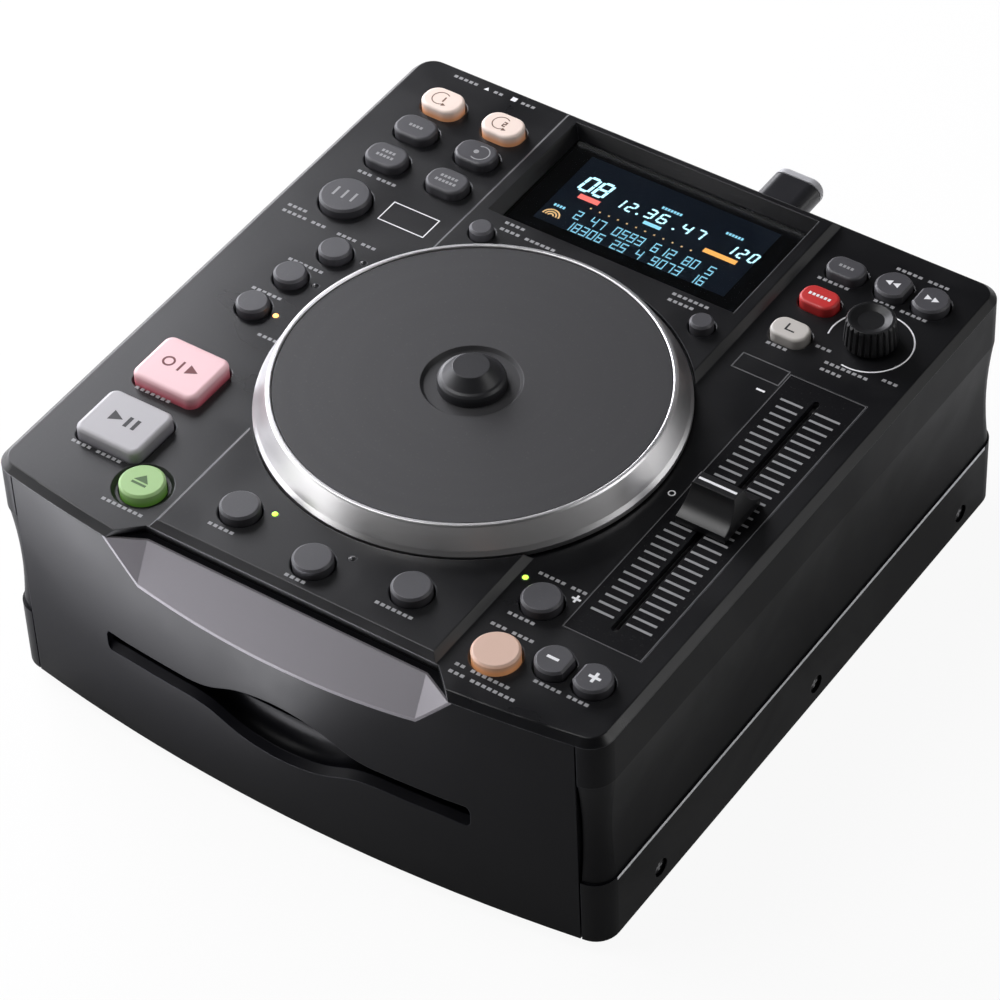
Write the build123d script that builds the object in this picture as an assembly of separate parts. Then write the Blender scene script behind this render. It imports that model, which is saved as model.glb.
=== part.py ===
from build123d import *
import os
from math import cos, radians, sin, sqrt

# Tabletop disc player with a slot loader, a jog wheel and a long pitch fader.
# Millimetres. +X is to the user's right, -Y is the bowed front with the disc slot,
# +Z is up. The origin is on the table, under the middle of the whole, memory stick included.

# ---- case -------------------------------------------------------------------
CASE_W = 218.0          # over the side panels
CASE_D = 236.0          # front of the bow to the rear panel
CASE_H = 86.0           # underside of the case to the deck
FRONT_BOW = 9.6         # how far the front bulges at its middle
CORNER_R = 8.0          # upright corners of the case
WALL = 3.0              # moulded panels
SEAM_INSET = 8.0        # front and rear seams, in from each side
SEAM_GAP = 0.5          # open joint between two panels
FOOT_H = 5.0
FOOT_R = 11.0
FOOT_INSET_X = 26.0
FOOT_INSET_Y = 30.0
FOOT_BEVEL = 1.2

# ---- deck -------------------------------------------------------------------
DECK_T = 2.4
RIM_CHAMFER = 2.3
RIM_EDGE_R = 0.6        # rounding between the bevel and the deck's face
PLATE_W = 102.8         # raised centre plate, at its foot
PLATE_RISE = 2.4
PLATE_BEVEL = 1.95
PLATE_EDGE_R = 0.5      # rounding between the bevel and the plate's face
PLATE_BACK_GAP = 2.8    # rear edge of the case to the plate
PLATE_FRONT_GAP = 11.6  # foremost point of the front to the plate
SKIRT_T = 2.0
SKIRT_DROP = 6.0
BOSS_R = 2.4
BOSS_INSET = 7.6         # side of the case to the screw bosses
BOSS_FRONT_GAP = 20.0
BOSS_BACK_GAP = 11.0
BOSS_MIDDLE_GAP = 123.0  # foremost point of the front to the middle bosses

# ---- name plate nose ---------------------------------------------------------
NOSE_TOP_HALF = 50.0    # half width of the sloped face
NOSE_WING_HALF = 61.4   # half width over the two wings
NOSE_TOP_BACK = 8.7     # foremost point of the front to the top edge
NOSE_DROP = 2.5         # deck to the top edge
NOSE_FOOT_DROP = 15.0   # deck to the foot of the face, at its ends
NOSE_T = 0.6
NOSE_CHEEK = 2.4        # end of the sloped face to the notch's back corner
NOSE_BLOCK_BACK = 1.5   # seat of the name plate: reach behind, beside and below the notch
NOSE_BLOCK_SIDE = 2.0
NOSE_BLOCK_BELOW = 8.0

# ---- disc slot ----------------------------------------------------------------
SLOT_W = 133.0
SLOT_Z = 45.6           # underside of the upper lip, above the table
SLIT_H = 5.4
SLIT_END_R = 2.4
SLIT_INSET = 3.0        # each end of the mouth to the end of the slit
LIP = 2.3               # bevel along the lower lip, as deep as it is high
SLIT_LIP = 1.0          # least floor between that bevel and the slit
MOUTH_END_R = 3.2
MOUTH_BELLY = 0.1       # bulge of the floor and the roof beside the scoop
SCOOP_HALF = 28.0       # finger scoop: half width, and reach above and below the slit
SCOOP_UP = 8.6
SCOOP_DOWN = 7.7
SCOOP_DEPTH = 9.0       # foremost point of the front to the scoop's back
SCOOP_BELLY = 1.3       # how far the scoop's floor and roof bow out
MOUTH_STATIONS = 8      # sections of the mouth on each side of the middle
BLOCK_RIM = 2.5         # thick stretch of the front beyond the scoop
SLOT_DEPTH = 12.0       # foremost point of the front to the back of that stretch

# ---- side panels ---------------------------------------------------------------
HOLLOW_TOP_DROP = 19.0  # deck to the top of the hollow in the flank
HOLLOW_FOOT = 25.0      # underside of the case to the ledge
HOLLOW_DEPTH = 1.65
HOLLOW_DEEPEST = 0.56   # where it is deepest, as a share of its height
HOLLOW_FRONT_TRIM = 1.0  # how far the hollow's front turn stands ahead of the corner's centre
LEDGE = 0.5
SCREW_HEAD_R = 2.7
SCREW_R = 1.4
SCREW_HEAD_T = 1.0
SCREW_SINK = 1.8        # flank to the seat of the head
SCREW_HEAD_GAP = 0.4    # head to its counterbore
SCREW_HOLE_GAP = 0.2
SCREW_TIP = 3.0         # how far the screw reaches past the base's flank
SCREW_Z = 6.8           # above the underside of the case
SCREW_PITCH = 87.3
SCREW_FIRST_Y = 39.0    # front of the bow to the first screw

# ---- display --------------------------------------------------------------------
WINDOW_W = 91.0
WINDOW_D = 50.0
WINDOW_BACK_GAP = 6.6   # rear edge of the case to the window
WINDOW_SLOPE = 2.5
LENS_T = 1.6
LENS_RIM = 2.0          # rim of the lens under the deck
LENS_DROP = 5.2         # plate to the face of the lens
GLASS_W = 72.0
GLASS_D = 36.0

# ---- jog wheel ---------------------------------------------------------------------
JOG_BACK = 105.0        # foremost point of the front to the wheel's axis
JOG_FOOT_R = 66.4
JOG_RIM_R = 61.5
JOG_RIM_W = 1.2
JOG_FOOT_GAP = 0.8      # deck to the wheel's lowest edge
JOG_RISE = 10.6         # deck to the rim
JOG_FOOT_BAND = 1.6     # upright band round the wheel's foot
JOG_FOOT_BEVEL_W = 1.0
JOG_FOOT_BEVEL_H = 1.4
JOG_RIM_BEVEL = 0.5
JOG_EDGE = 0.3          # broken edges of the rim and the disc
JOG_SEAT_W = 4.0        # ledge that carries the disc
JOG_SEAT_T = 1.5
JOG_FOOT_W = 4.0        # width of the ring at its foot
JOG_DISC_T = 2.2
JOG_DISC_SINK = 0.4     # rim to the disc's face
JOG_DISC_GAP = 0.1      # disc to the rim
JOG_HUB_WALL = 5.0
JOG_HUB_L = 2.2
JOG_DISH_R = 15.6
JOG_DISH_SLOPE = 1.0
JOG_DISH_DEPTH = 1.2
JOG_CAP_R = 10.6
JOG_CAP_TOP_R = 5.6
JOG_CAP_H = 7.6
JOG_CAP_WAIST = 2.2     # foot to the round shoulder
JOG_CAP_SHOULDER = 1.9
JOG_CAP_TURNS = (0, 30, 60, 85)  # degrees round the shoulder
JOG_SHAFT_R = 4.0
JOG_SHAFT_L = 22.0
BEARING_WALL = 4.0
BEARING_FLANGE_R = 15.0
BEARING_FLANGE_T = 2.5
BEARING_DROP = 6.0      # deck's underside to the foot of the bush
BEARING_RISE = 2.0      # deck to the top of the bush
RUNNING = 0.05          # radial clearance of a shaft in its bearing
WELL_GAP = 1.0          # wheel to the well in the centre plate

# ---- pitch fader ---------------------------------------------------------------------
FADER_X_INSET = 22.2    # right side to the slot
FADER_BACK_OF_JOG = 0.4  # wheel's axis to the fader's middle
FADER_TRAVEL = 100.0
FADER_SLOT_W = 2.4
FADER_SLOT_END = 6.0    # slot beyond the lever at each end
FADER_PLATE_W = 27.0
FADER_PLATE_END = 6.2   # plate beyond the slot at each end
FADER_PLATE_T = 0.6
BEND_GAP = 20.3         # slot's front end to the middle of the bend keys
FADER_CAP_W = 17.0
FADER_CAP_D = 19.5
FADER_CAP_H = 11.2
FADER_CAP_TOP_W = 13.6
FADER_SADDLE = 0.36     # height of each saddle, as a share of the cap's
FADER_SADDLE_OUT = 0.6
FADER_CAP_LIFT = 0.4
FADER_RIDGE_D = 5.0
FADER_LIP_H = 2.6
LEVER_W = 1.4
LEVER_D = 4.0
LEVER_ROOT = 1.0        # how far the lever reaches up into the cap
LEVER_SIDE_GAP = 0.5    # lever to the track's groove
LEVER_END_GAP = 1.0
LEVER_FLOOR_GAP = 2.0
TRACK_W = 15.0
TRACK_H = 9.0
TRACK_FLOOR = 2.0
TRACK_END = 6.0         # track beyond the slot at each end

# ---- parameter knob --------------------------------------------------------------------
KNOB_R = 8.4
KNOB_TOP_R = 7.3
KNOB_H = 10.0
KNOB_FLUTES = 24
KNOB_FLUTE_W = 1.0
KNOB_FLUTE_OUT = 0.1    # grip to the middle of each flute's square cut
KNOB_DISH = 1.0
KNOB_LIFT = 1.2         # deck to the knob's foot
KNOB_LEFT_OF_FADER = 0.4
KNOB_BACK_GAP = 43.5    # rear edge of the case to the knob's axis
KNOB_GRIP_FOOT = 1.4    # plain band below the flutes
KNOB_CROWN_W = 0.5      # bevel at the top of the grip
KNOB_CROWN_H = 0.8
KNOB_LAND = 0.8         # flat ring round the dished top
KNOB_BOWL_W = 2.4
KNOB_PUSH = 0.8
KNOB_SHAFT_R = 3.0
ENCODER_W = 12.0
ENCODER_BUSH_WALL = 1.2
BUSH_GAP = 0.1           # bush to its hole in the deck
BUSH_DROP = 0.2          # deck to the end of the bush
ENCODER_FLOOR = 1.6      # key board to the foot of the shaft
SHAFT_TOP_GAP = 0.4      # shaft's end to the blind end of the knob's bore
SHAFT_FOOT_GAP = 0.2     # left under the shaft when the knob is pushed home
KNOB_BORE_ROOF = 2.0     # knob's dish to the blind end of its bore

# ---- keys -----------------------------------------------------------------------------
KEY_RISE = 3.0
KEY_GAP = 0.4           # key to its hole
KEY_EDGE = 0.7          # bevel round a key's face
SOFT_EDGE_R = 1.0       # rounding round an oblong key's face
TRANSPORT_EDGE_R = 1.5
HOLE_EDGE = 0.45        # bevel round a key's hole
KEY_TRAVEL = 0.8
KEY_FLANGE = 1.2        # how far the retaining tabs stand out
KEY_TAB_W = 6.0
KEY_FLANGE_T = 1.0
KEY_FLANGE_DROP = 0.3   # deck's underside to the flange
STEM_W = 3.0
STEM_L = 1.2
SWITCH_W = 6.0
STOP_GAP = 0.3          # left under the stem when a key is pressed home
BOARD_T = 1.6
BOARD_DROP = 8.4        # deck's underside to the underside of the key board
BOARD_GAP = 1.0         # board to the skirt, the track and the display
BOARD_FRONT_GAP = 14.0
BOARD_UNDER_WHEEL = 10.0
PILL_L = 14.2
PILL_W = 10.4
SMALL_PILL_L = 12.6
SMALL_PILL_W = 8.8
TAP_R = 8.3
EFFECT_R = 5.3
TINY_R = 3.8
ROUND_R = 6.2
MODE_R = 7.3
PAIR_R = 5.9
PAIR_FLAT = 4.9
TRANSPORT_L = 24.0
TRANSPORT_W = 20.5
TRANSPORT_R = 3.2
EJECT_R = 7.1
EJECT_DISH_R = 9.6
EJECT_DISH_DEPTH = 1.4
EJECT_DISH_TAPER = 40    # degrees
EFFECT_ARC_R = 82.5
EFFECT_STEP = 12.0      # degrees between the effect keys
BRAKE_ARC_R = 81.6
BRAKE_STEP = 22.2
OUTER_COLUMN_INSET = 21.5  # left side to the columns of keys
INNER_COLUMN_INSET = 45.0
TRANSPORT_INSET = 26.8
EJECT_INSET = 45.7
RIGHT_COLUMN_INSET = 44.8  # right side to its column of keys
ROW_1_BACK_GAP = 21.0    # rear edge of the case to the rows of keys
ROW_2_BACK_GAP = 36.2
ROW_3_BACK_GAP = 52.4
TAP_BACK_GAP = 75.2
CUE_FRONT_GAP = 68.4     # foremost point of the front to these keys
PLAY_FRONT_GAP = 40.4
EJECT_FRONT_GAP = 24.2
PITCH_KEY_FRONT_GAP = 47.6
JOG_MODE_FRONT_GAP = 23.4
TINY_KEY_X = 40.7        # wheel's axis to the keys beside the display
TINY_KEY_BACK = 63.8
SOURCE_FORWARD = 0.6     # how far these keys stand ahead of their rows
BACK_KEY_FORWARD = 1.4
SEARCH_BACKWARD = 1.2
PITCH_KEY_LEFT = 0.6
PAIR_PITCH = 6.6         # middle of a pair of keys to each of them
PAIR_RIGHT = 0.2         # fader's slot to the middle of the pairs
PILL_FLAT = 0.6          # half of the straight stretch at a pill's ends
LIT_KEY_LIFT = 0.6       # how far these faces stand above the others
TRANSPORT_LIFT = 1.2
EJECT_SINK = 0.6
LED_ARC_R = 74.3
LED_R = 1.2
LED_GAP = 0.1

# ---- loader -----------------------------------------------------------------------------
LOADER_W = 137.0
LOADER_D = 128.0
LOADER_Z = 24.0
LOADER_T = 1.5
LOADER_WALL_H = 28.0
LOADER_FRONT_GAP = 14.5  # foremost point of the front to the loader
LEG_W = 8.0
ROLLER_R = 3.8
ROLLER_L = 128.0
ROLLER_SHAFT_R = 1.5
ROLLER_SHAFT_END = 1.0   # shaft beyond the frame at each end
ROLLER_BACK = 18.0       # foremost point of the front to the roller
ROLLER_DROP = 1.2        # slit's floor to the top of the roller
HUB_BACK = 73.0          # foremost point of the front to the spindle
HUB_R = 14.0
HUB_CONE_R = 7.2
HUB_CONE_TAPER = 1.4
HUB_CONE_DROP = 0.6      # slit's floor to the top of the cone
HUB_FLANGE_T = 1.6
HUB_GAP = 0.4            # motor to the hub, and frame's underside to the shaft's end
HUB_SHAFT_R = 1.0
HUB_MOTOR_R = 11.0
HUB_MOTOR_H = 6.0
ROD_R = 1.5
ROD_SPREAD = 14.0
ROD_L = 54.0
ROD_ROOF = 1.0           # bar above each rod
ROD_BACK_OF_HUB = 13.5
BAR_D = 3.0
BAR_H = 6.0
SLED_W = 38.0
SLED_D = 12.0
SLED_H = 8.0
SLED_GAP = 0.4           # frame to the sled
SLED_LENS_R = 2.5
SLED_LENS_H = 1.0
SLED_REST = 1.0

# ---- rear ---------------------------------------------------------------------------------
BASE_T = 1.2
FLANGE_H = 12.0
POST_R = 3.0
POST_INSET = 6.0         # edges of the main board to its posts
MAIN_BOARD_INSET = 16.0  # each side of the case to the main board
MAIN_BOARD_D = 74.0
MAIN_BOARD_LIFT = 6.0
MAIN_BOARD_BACK_GAP = 3.0
CHIP = (32.0, 38.0, 24.0, 24.0, 2.4)  # middle in X, distance from the rear edge, width, depth, height
TRANSFORMER = (-61.0, 32.0, 34.0, 32.0, 20.0)
CAPACITORS_X = (-28.0, -14.0, 0.0)
CAPACITOR_BACK = 20.0
CAPACITOR_R = 5.0
CAPACITOR_H = 14.0
REAR_ROW_Z = 18.0        # underside of the case to the row of sockets
POWER_X_INSET = 27.0     # left side to the power key
POWER_W = 11.0
POWER_OUT = 4.5
POWER_TRAVEL = 3.0
POWER_STEM = 4.0
POWER_SPARE = 0.5        # left behind the key when it is pressed home
POWER_EDGE = 0.8
SWITCH_BODY_W = 14.0
SWITCH_BODY_D = 12.0
SWITCH_BODY_H = 15.0
INLET_X_INSET = 55.0
INLET_W = 27.0
INLET_H = 16.0
INLET_OUT = 0.8          # rear wall to the inlet's face
INLET_BEHIND = 16.0      # inlet behind the rear wall
INLET_WELL_W = 18.4
INLET_WELL_H = 8.8
INLET_WELL_D = 11.0
INLET_PIN_R = 1.2
INLET_PIN_SPREAD = 4.3
INLET_PIN_SINK = 2.0     # rear wall to the pins' ends
JACK_R = 4.15
JACK_OUT = 9.0
JACK_BORE_R = 1.7
JACK_BORE_SINK = 2.0     # rear wall to the floor of the bore
JACK_SKIRT_R = 6.2
JACK_SKIRT_OUT = 1.0     # skirt beyond each face of the rear wall
JACK_BODY_W = 11.0
JACK_BODY_D = 10.0
JACK_PITCH = 18.0
JACK_X = 62.0
USB_W = 14.6
USB_H = 7.2
USB_MOUTH_W = 12.4
USB_MOUTH_H = 4.9
USB_DEPTH = 12.0
USB_BACK_WALL = 1.0
USB_OUT = 0.4            # rear wall to the port's face
PORT_GAP = 1.0           # port to the skirt; half of it to the key board
USB_X = 24.0
USB_DROP = 10.0          # deck to the middle of the port
PLUG_W = 12.0
PLUG_H = 4.5
PLUG_L = 12.0
STICK_W = 17.4
STICK_H = 9.2
STICK_L = 18.2
STICK_GAP = 0.8          # rear wall to the stick's shell
STICK_SIDE_R = 4.4
STICK_END_R = 2.4
STICK_BAND = 4.0         # far end to the groove behind the end cap
STICK_GROOVE = 0.4

# ---- places worked out from the sizes ---------------------------------------------------------
HALF_W = CASE_W / 2
REAR_REACH = STICK_GAP + STICK_L
FRONT_Y = -(CASE_D + REAR_REACH) / 2
BACK_Y = FRONT_Y + CASE_D
CASE_Z = FOOT_H
DECK_Z = CASE_Z + CASE_H
UNDER_Z = DECK_Z - DECK_T
PLATE_Z = DECK_Z + PLATE_RISE
SEAM_X = HALF_W - SEAM_INSET
PLATE_FRONT_Y = FRONT_Y + PLATE_FRONT_GAP
PLATE_BACK_Y = BACK_Y - PLATE_BACK_GAP
JOG_Y = FRONT_Y + JOG_BACK
FADER_X = HALF_W - FADER_X_INSET
FADER_Y = JOG_Y + FADER_BACK_OF_JOG
KNOB_X = FADER_X - KNOB_LEFT_OF_FADER
KNOB_Y = BACK_Y - KNOB_BACK_GAP
LEFT_OUTER_X = -HALF_W + OUTER_COLUMN_INSET
LEFT_INNER_X = -HALF_W + INNER_COLUMN_INSET
RIGHT_X = HALF_W - RIGHT_COLUMN_INSET
TRANSPORT_X = -HALF_W + TRANSPORT_INSET
EJECT_X = -HALF_W + EJECT_INSET
ROW_1_Y = BACK_Y - ROW_1_BACK_GAP
ROW_2_Y = BACK_Y - ROW_2_BACK_GAP
ROW_3_Y = BACK_Y - ROW_3_BACK_GAP
TAP_Y = BACK_Y - TAP_BACK_GAP
WINDOW_Y = BACK_Y - WINDOW_BACK_GAP - WINDOW_D / 2
LENS_Z = PLATE_Z - LENS_DROP
BOARD_Z = UNDER_Z - BOARD_DROP
SLIT_Z = SLOT_Z - SLIT_H
MOUTH_Z = SLIT_Z - LIP  # lower edge of the mouth where it is straight
REAR_Z = CASE_Z + REAR_ROW_Z
USB_Z = DECK_Z - USB_DROP
HUB_Y = FRONT_Y + HUB_BACK
FADER_SLOT_HALF = FADER_TRAVEL / 2 + FADER_SLOT_END
FADER_PLATE_D = 2 * (FADER_SLOT_HALF + FADER_PLATE_END)
MAIN_BOARD_W = CASE_W - 2 * MAIN_BOARD_INSET
BIG = 3 * CASE_W        # larger than anything it cuts
CUT_PAST = 0.2          # how far a cut runs past the surface that it opens


def block(x0, x1, y0, y1, z0, z1):
    """A box between two corners."""
    size = Box(x1 - x0, y1 - y0, z1 - z0)
    return Pos((x0 + x1) / 2, (y0 + y1) / 2, (z0 + z1) / 2) * size


def rod(x, y, z0, z1, r):
    """An upright cylinder."""
    return Pos(x, y, (z0 + z1) / 2) * Cylinder(r, z1 - z0)


def rod_y(x, z, y0, y1, r):
    """A cylinder along Y."""
    return Pos(x, (y0 + y1) / 2, z) * Rot(90, 0, 0) * Cylinder(r, y1 - y0)


def rod_x(y, z, x0, x1, r):
    """A cylinder along X."""
    return Pos((x0 + x1) / 2, y, z) * Rot(0, 90, 0) * Cylinder(r, x1 - x0)


def prism(face, z0, z1):
    """A plan outline raised from z0 to z1."""
    return extrude(Pos(0, 0, z0) * face, z1 - z0)


def case_outline(inset=0.0):
    """Plan of the case: three straight sides, a bowed front and round corners."""
    corner_y = FRONT_Y + FRONT_BOW
    front = ThreePointArc((-HALF_W, corner_y), (0, FRONT_Y), (HALF_W, corner_y))
    right = Line((HALF_W, corner_y), (HALF_W, BACK_Y))
    back = Line((HALF_W, BACK_Y), (-HALF_W, BACK_Y))
    left = Line((-HALF_W, BACK_Y), (-HALF_W, corner_y))
    face = make_face([front, right, back, left])
    face = fillet(face.vertices(), CORNER_R)
    if inset:
        face = offset(face, -inset, kind=Kind.INTERSECTION)
    return face


OUTER = case_outline()
INNER = case_outline(WALL)


def front_y(x):
    """Y of the bowed front at a given X."""
    radius = (HALF_W ** 2 + FRONT_BOW ** 2) / (2 * FRONT_BOW)
    return FRONT_Y + radius - sqrt(radius ** 2 - x ** 2)


def cut_above(solid, origin, normal):
    """The half of a solid that lies ahead of a plane."""
    return split(solid, bisect_by=Plane(origin=origin, z_dir=normal), keep=Keep.TOP)


def nose_void(depth):
    """The air in front of the name plate, or with a depth, the pocket it lies in."""
    top_y = FRONT_Y + NOSE_TOP_BACK
    top_z = DECK_Z - NOSE_DROP
    foot_y = front_y(NOSE_TOP_HALF)
    foot_z = DECK_Z - NOSE_FOOT_DROP
    face_normal = Vector(0, -(top_z - foot_z), top_y - foot_y).normalized()
    void = block(-BIG / 2, BIG / 2, FRONT_Y - WALL, PLATE_FRONT_Y, CASE_Z + CASE_H / 2, DECK_Z)
    origin = Vector(0, top_y, top_z) - face_normal * depth
    void = cut_above(void, origin, face_normal)
    for side in (-1, 1):
        top = Vector(side * NOSE_TOP_HALF, top_y, top_z)
        foot = Vector(side * NOSE_TOP_HALF, foot_y, foot_z)
        wing = Vector(side * NOSE_WING_HALF, front_y(NOSE_WING_HALF), top_z)
        wing_normal = (foot - top).cross(wing - top).normalized() * side
        void = cut_above(void, top - wing_normal * depth, wing_normal)
    return void


def notch():
    """The step in the deck above the name plate."""
    back = NOSE_TOP_HALF + NOSE_CHEEK
    wing_y = front_y(NOSE_WING_HALF)
    slope = (NOSE_WING_HALF - back) / (PLATE_FRONT_Y - wing_y)
    reach_y = FRONT_Y - WALL
    ahead = NOSE_WING_HALF + slope * (wing_y - reach_y)
    corners = [(-back, PLATE_FRONT_Y), (back, PLATE_FRONT_Y), (ahead, reach_y), (-ahead, reach_y)]
    return prism(make_face(Polyline(*corners, close=True)), DECK_Z - NOSE_DROP, PLATE_Z + WALL)


# ---- outlines of the keys ------------------------------------------------------------------

def pill(length, width):
    """Outline of an oblong key, grown by an offset."""
    return lambda grow: RectangleRounded(length + 2 * grow, width + 2 * grow, width / 2 - PILL_FLAT + grow)


def disc(radius):
    """Outline of a round key."""
    return lambda grow: Circle(radius + grow)


def half_round(side):
    """Outline of one of a facing pair: a circle with a flat towards its partner."""
    def outline(grow):
        flat = PAIR_FLAT + grow
        cut_away = Pos(-side * (flat + BIG / 2), 0) * Rectangle(BIG, BIG)
        return Circle(PAIR_R + grow) - cut_away
    return outline


def rounded(length, width, radius):
    """Outline of a square key with small corners."""
    return lambda grow: RectangleRounded(length + 2 * grow, width + 2 * grow, radius + grow)


def on_arc(radius, degrees):
    """A point on a circle about the jog wheel's axis."""
    return (radius * cos(radians(degrees)), JOG_Y + radius * sin(radians(degrees)))


PILL = pill(PILL_L, PILL_W)
SMALL_PILL = pill(SMALL_PILL_L, SMALL_PILL_W)
TRANSPORT = rounded(TRANSPORT_L, TRANSPORT_W, TRANSPORT_R)
SOFT_KEYS = {PILL: SOFT_EDGE_R, SMALL_PILL: SOFT_EDGE_R, TRANSPORT: TRANSPORT_EDGE_R}
DUMP_Y = on_arc(BRAKE_ARC_R, 270)[1]
PAIR_X = FADER_X + PAIR_RIGHT
BEND_Y = FADER_Y - FADER_SLOT_HALF - BEND_GAP

# name: outline, place, how far the face stands above the deck
KEYS = {
    "loop_in_a1_key": (PILL, (LEFT_OUTER_X, ROW_1_Y), KEY_RISE + LIT_KEY_LIFT),
    "loop_in_a2_key": (PILL, (LEFT_INNER_X, ROW_1_Y), KEY_RISE + LIT_KEY_LIFT),
    "flip_key": (PILL, (LEFT_OUTER_X, ROW_2_Y), KEY_RISE),
    "loop_out_key": (PILL, (LEFT_INNER_X, ROW_2_Y), KEY_RISE),
    "next_track_key": (PILL, (LEFT_OUTER_X, ROW_3_Y), KEY_RISE),
    "loop_exit_key": (PILL, (LEFT_INNER_X, ROW_3_Y), KEY_RISE),
    "tap_key": (disc(TAP_R), (LEFT_OUTER_X, TAP_Y), KEY_RISE),
    "echo_key": (disc(EFFECT_R), on_arc(EFFECT_ARC_R, 180 - 2 * EFFECT_STEP), KEY_RISE),
    "flanger_key": (disc(EFFECT_R), on_arc(EFFECT_ARC_R, 180 - EFFECT_STEP), KEY_RISE),
    "filter_key": (disc(EFFECT_R), on_arc(EFFECT_ARC_R, 180), KEY_RISE),
    "cue_key": (TRANSPORT, (TRANSPORT_X, FRONT_Y + CUE_FRONT_GAP), KEY_RISE + TRANSPORT_LIFT),
    "play_pause_key": (TRANSPORT, (TRANSPORT_X, FRONT_Y + PLAY_FRONT_GAP), KEY_RISE + TRANSPORT_LIFT),
    "eject_key": (disc(EJECT_R), (EJECT_X, FRONT_Y + EJECT_FRONT_GAP), KEY_RISE - EJECT_SINK),
    "time_key": (disc(TINY_R), (-TINY_KEY_X, JOG_Y + TINY_KEY_BACK), KEY_RISE),
    "title_key": (disc(TINY_R), (TINY_KEY_X, JOG_Y + TINY_KEY_BACK), KEY_RISE),
    "brake_key": (disc(ROUND_R), on_arc(BRAKE_ARC_R, 270 - BRAKE_STEP), KEY_RISE),
    "dump_key": (disc(ROUND_R), (0, DUMP_Y), KEY_RISE),
    "reverse_key": (disc(ROUND_R), on_arc(BRAKE_ARC_R, 270 + BRAKE_STEP), KEY_RISE),
    "memo_key": (SMALL_PILL, (RIGHT_X, ROW_1_Y), KEY_RISE),
    "source_key": (SMALL_PILL, (RIGHT_X, ROW_2_Y - SOURCE_FORWARD), KEY_RISE),
    "back_key": (SMALL_PILL, (RIGHT_X, ROW_3_Y - BACK_KEY_FORWARD), KEY_RISE),
    "search_back_key": (half_round(-1), (PAIR_X - PAIR_PITCH, ROW_1_Y + SEARCH_BACKWARD), KEY_RISE),
    "search_forward_key": (half_round(1), (PAIR_X + PAIR_PITCH, ROW_1_Y + SEARCH_BACKWARD), KEY_RISE),
    "pitch_key": (disc(ROUND_R), (RIGHT_X - PITCH_KEY_LEFT, FRONT_Y + PITCH_KEY_FRONT_GAP), KEY_RISE),
    "jog_mode_key": (disc(MODE_R), (RIGHT_X, FRONT_Y + JOG_MODE_FRONT_GAP), KEY_RISE),
    "bend_minus_key": (half_round(-1), (PAIR_X - PAIR_PITCH, BEND_Y), KEY_RISE),
    "bend_plus_key": (half_round(1), (PAIR_X + PAIR_PITCH, BEND_Y), KEY_RISE),
}

# angles of the indicator lights about the jog wheel's axis
LEDS = (152.0, 165.7, 179.5, 253.2, 276.5, 316.3)


def key_ground(name):
    """Height of the surface that a key stands in."""
    x, y = KEYS[name][1]
    on_plate = abs(x) < PLATE_W / 2 and PLATE_FRONT_Y < y < PLATE_BACK_Y
    return PLATE_Z if on_plate else DECK_Z


def key_solid(name):
    """A key: face with a bevelled edge, skirt, two retaining tabs and a stem."""
    outline, (x, y), rise = KEYS[name]
    top = key_ground(name) + rise
    flange_top = UNDER_Z - KEY_FLANGE_DROP
    flange_foot = flange_top - KEY_FLANGE_T
    cap = prism(outline(0), flange_foot, top)
    face_edges = cap.edges().group_by(Axis.Z)[-1]
    if outline in SOFT_KEYS:
        cap = fillet(face_edges, SOFT_KEYS[outline])
    else:
        cap = chamfer(face_edges, KEY_EDGE)
    reach = outline(0).bounding_box().size.Y / 2 + KEY_FLANGE
    tabs = block(-KEY_TAB_W / 2, KEY_TAB_W / 2, -reach, reach, flange_foot, flange_top)
    half = STEM_W / 2
    stem = block(-half, half, -half, half, flange_foot - STEM_L, flange_foot)
    return Pos(x, y) * (cap + tabs + stem)


def key_hole(name):
    """The hole in the deck for a key, bevelled where it meets the surface."""
    outline, (x, y), _ = KEYS[name]
    ground = key_ground(name)
    foot = Pos(0, 0, ground - HOLE_EDGE) * outline(KEY_GAP)
    head = Pos(0, 0, ground + CUT_PAST) * outline(KEY_GAP + HOLE_EDGE + CUT_PAST)
    hole = prism(outline(KEY_GAP), UNDER_Z - WALL, ground) + loft([foot, head], ruled=True)
    return Pos(x, y) * hole


def led_places():
    """Plan places of the indicator lights, with the height of the surface there."""
    places = []
    for degrees in LEDS:
        x, y = on_arc(LED_ARC_R, degrees)
        places.append((x, y, PLATE_Z if abs(x) < PLATE_W / 2 else DECK_Z))
    return places


BOSSES = [(sx * (HALF_W - BOSS_INSET), y) for sx in (-1, 1)
          for y in (FRONT_Y + BOSS_FRONT_GAP, FRONT_Y + BOSS_MIDDLE_GAP, BACK_Y - BOSS_BACK_GAP)]


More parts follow.
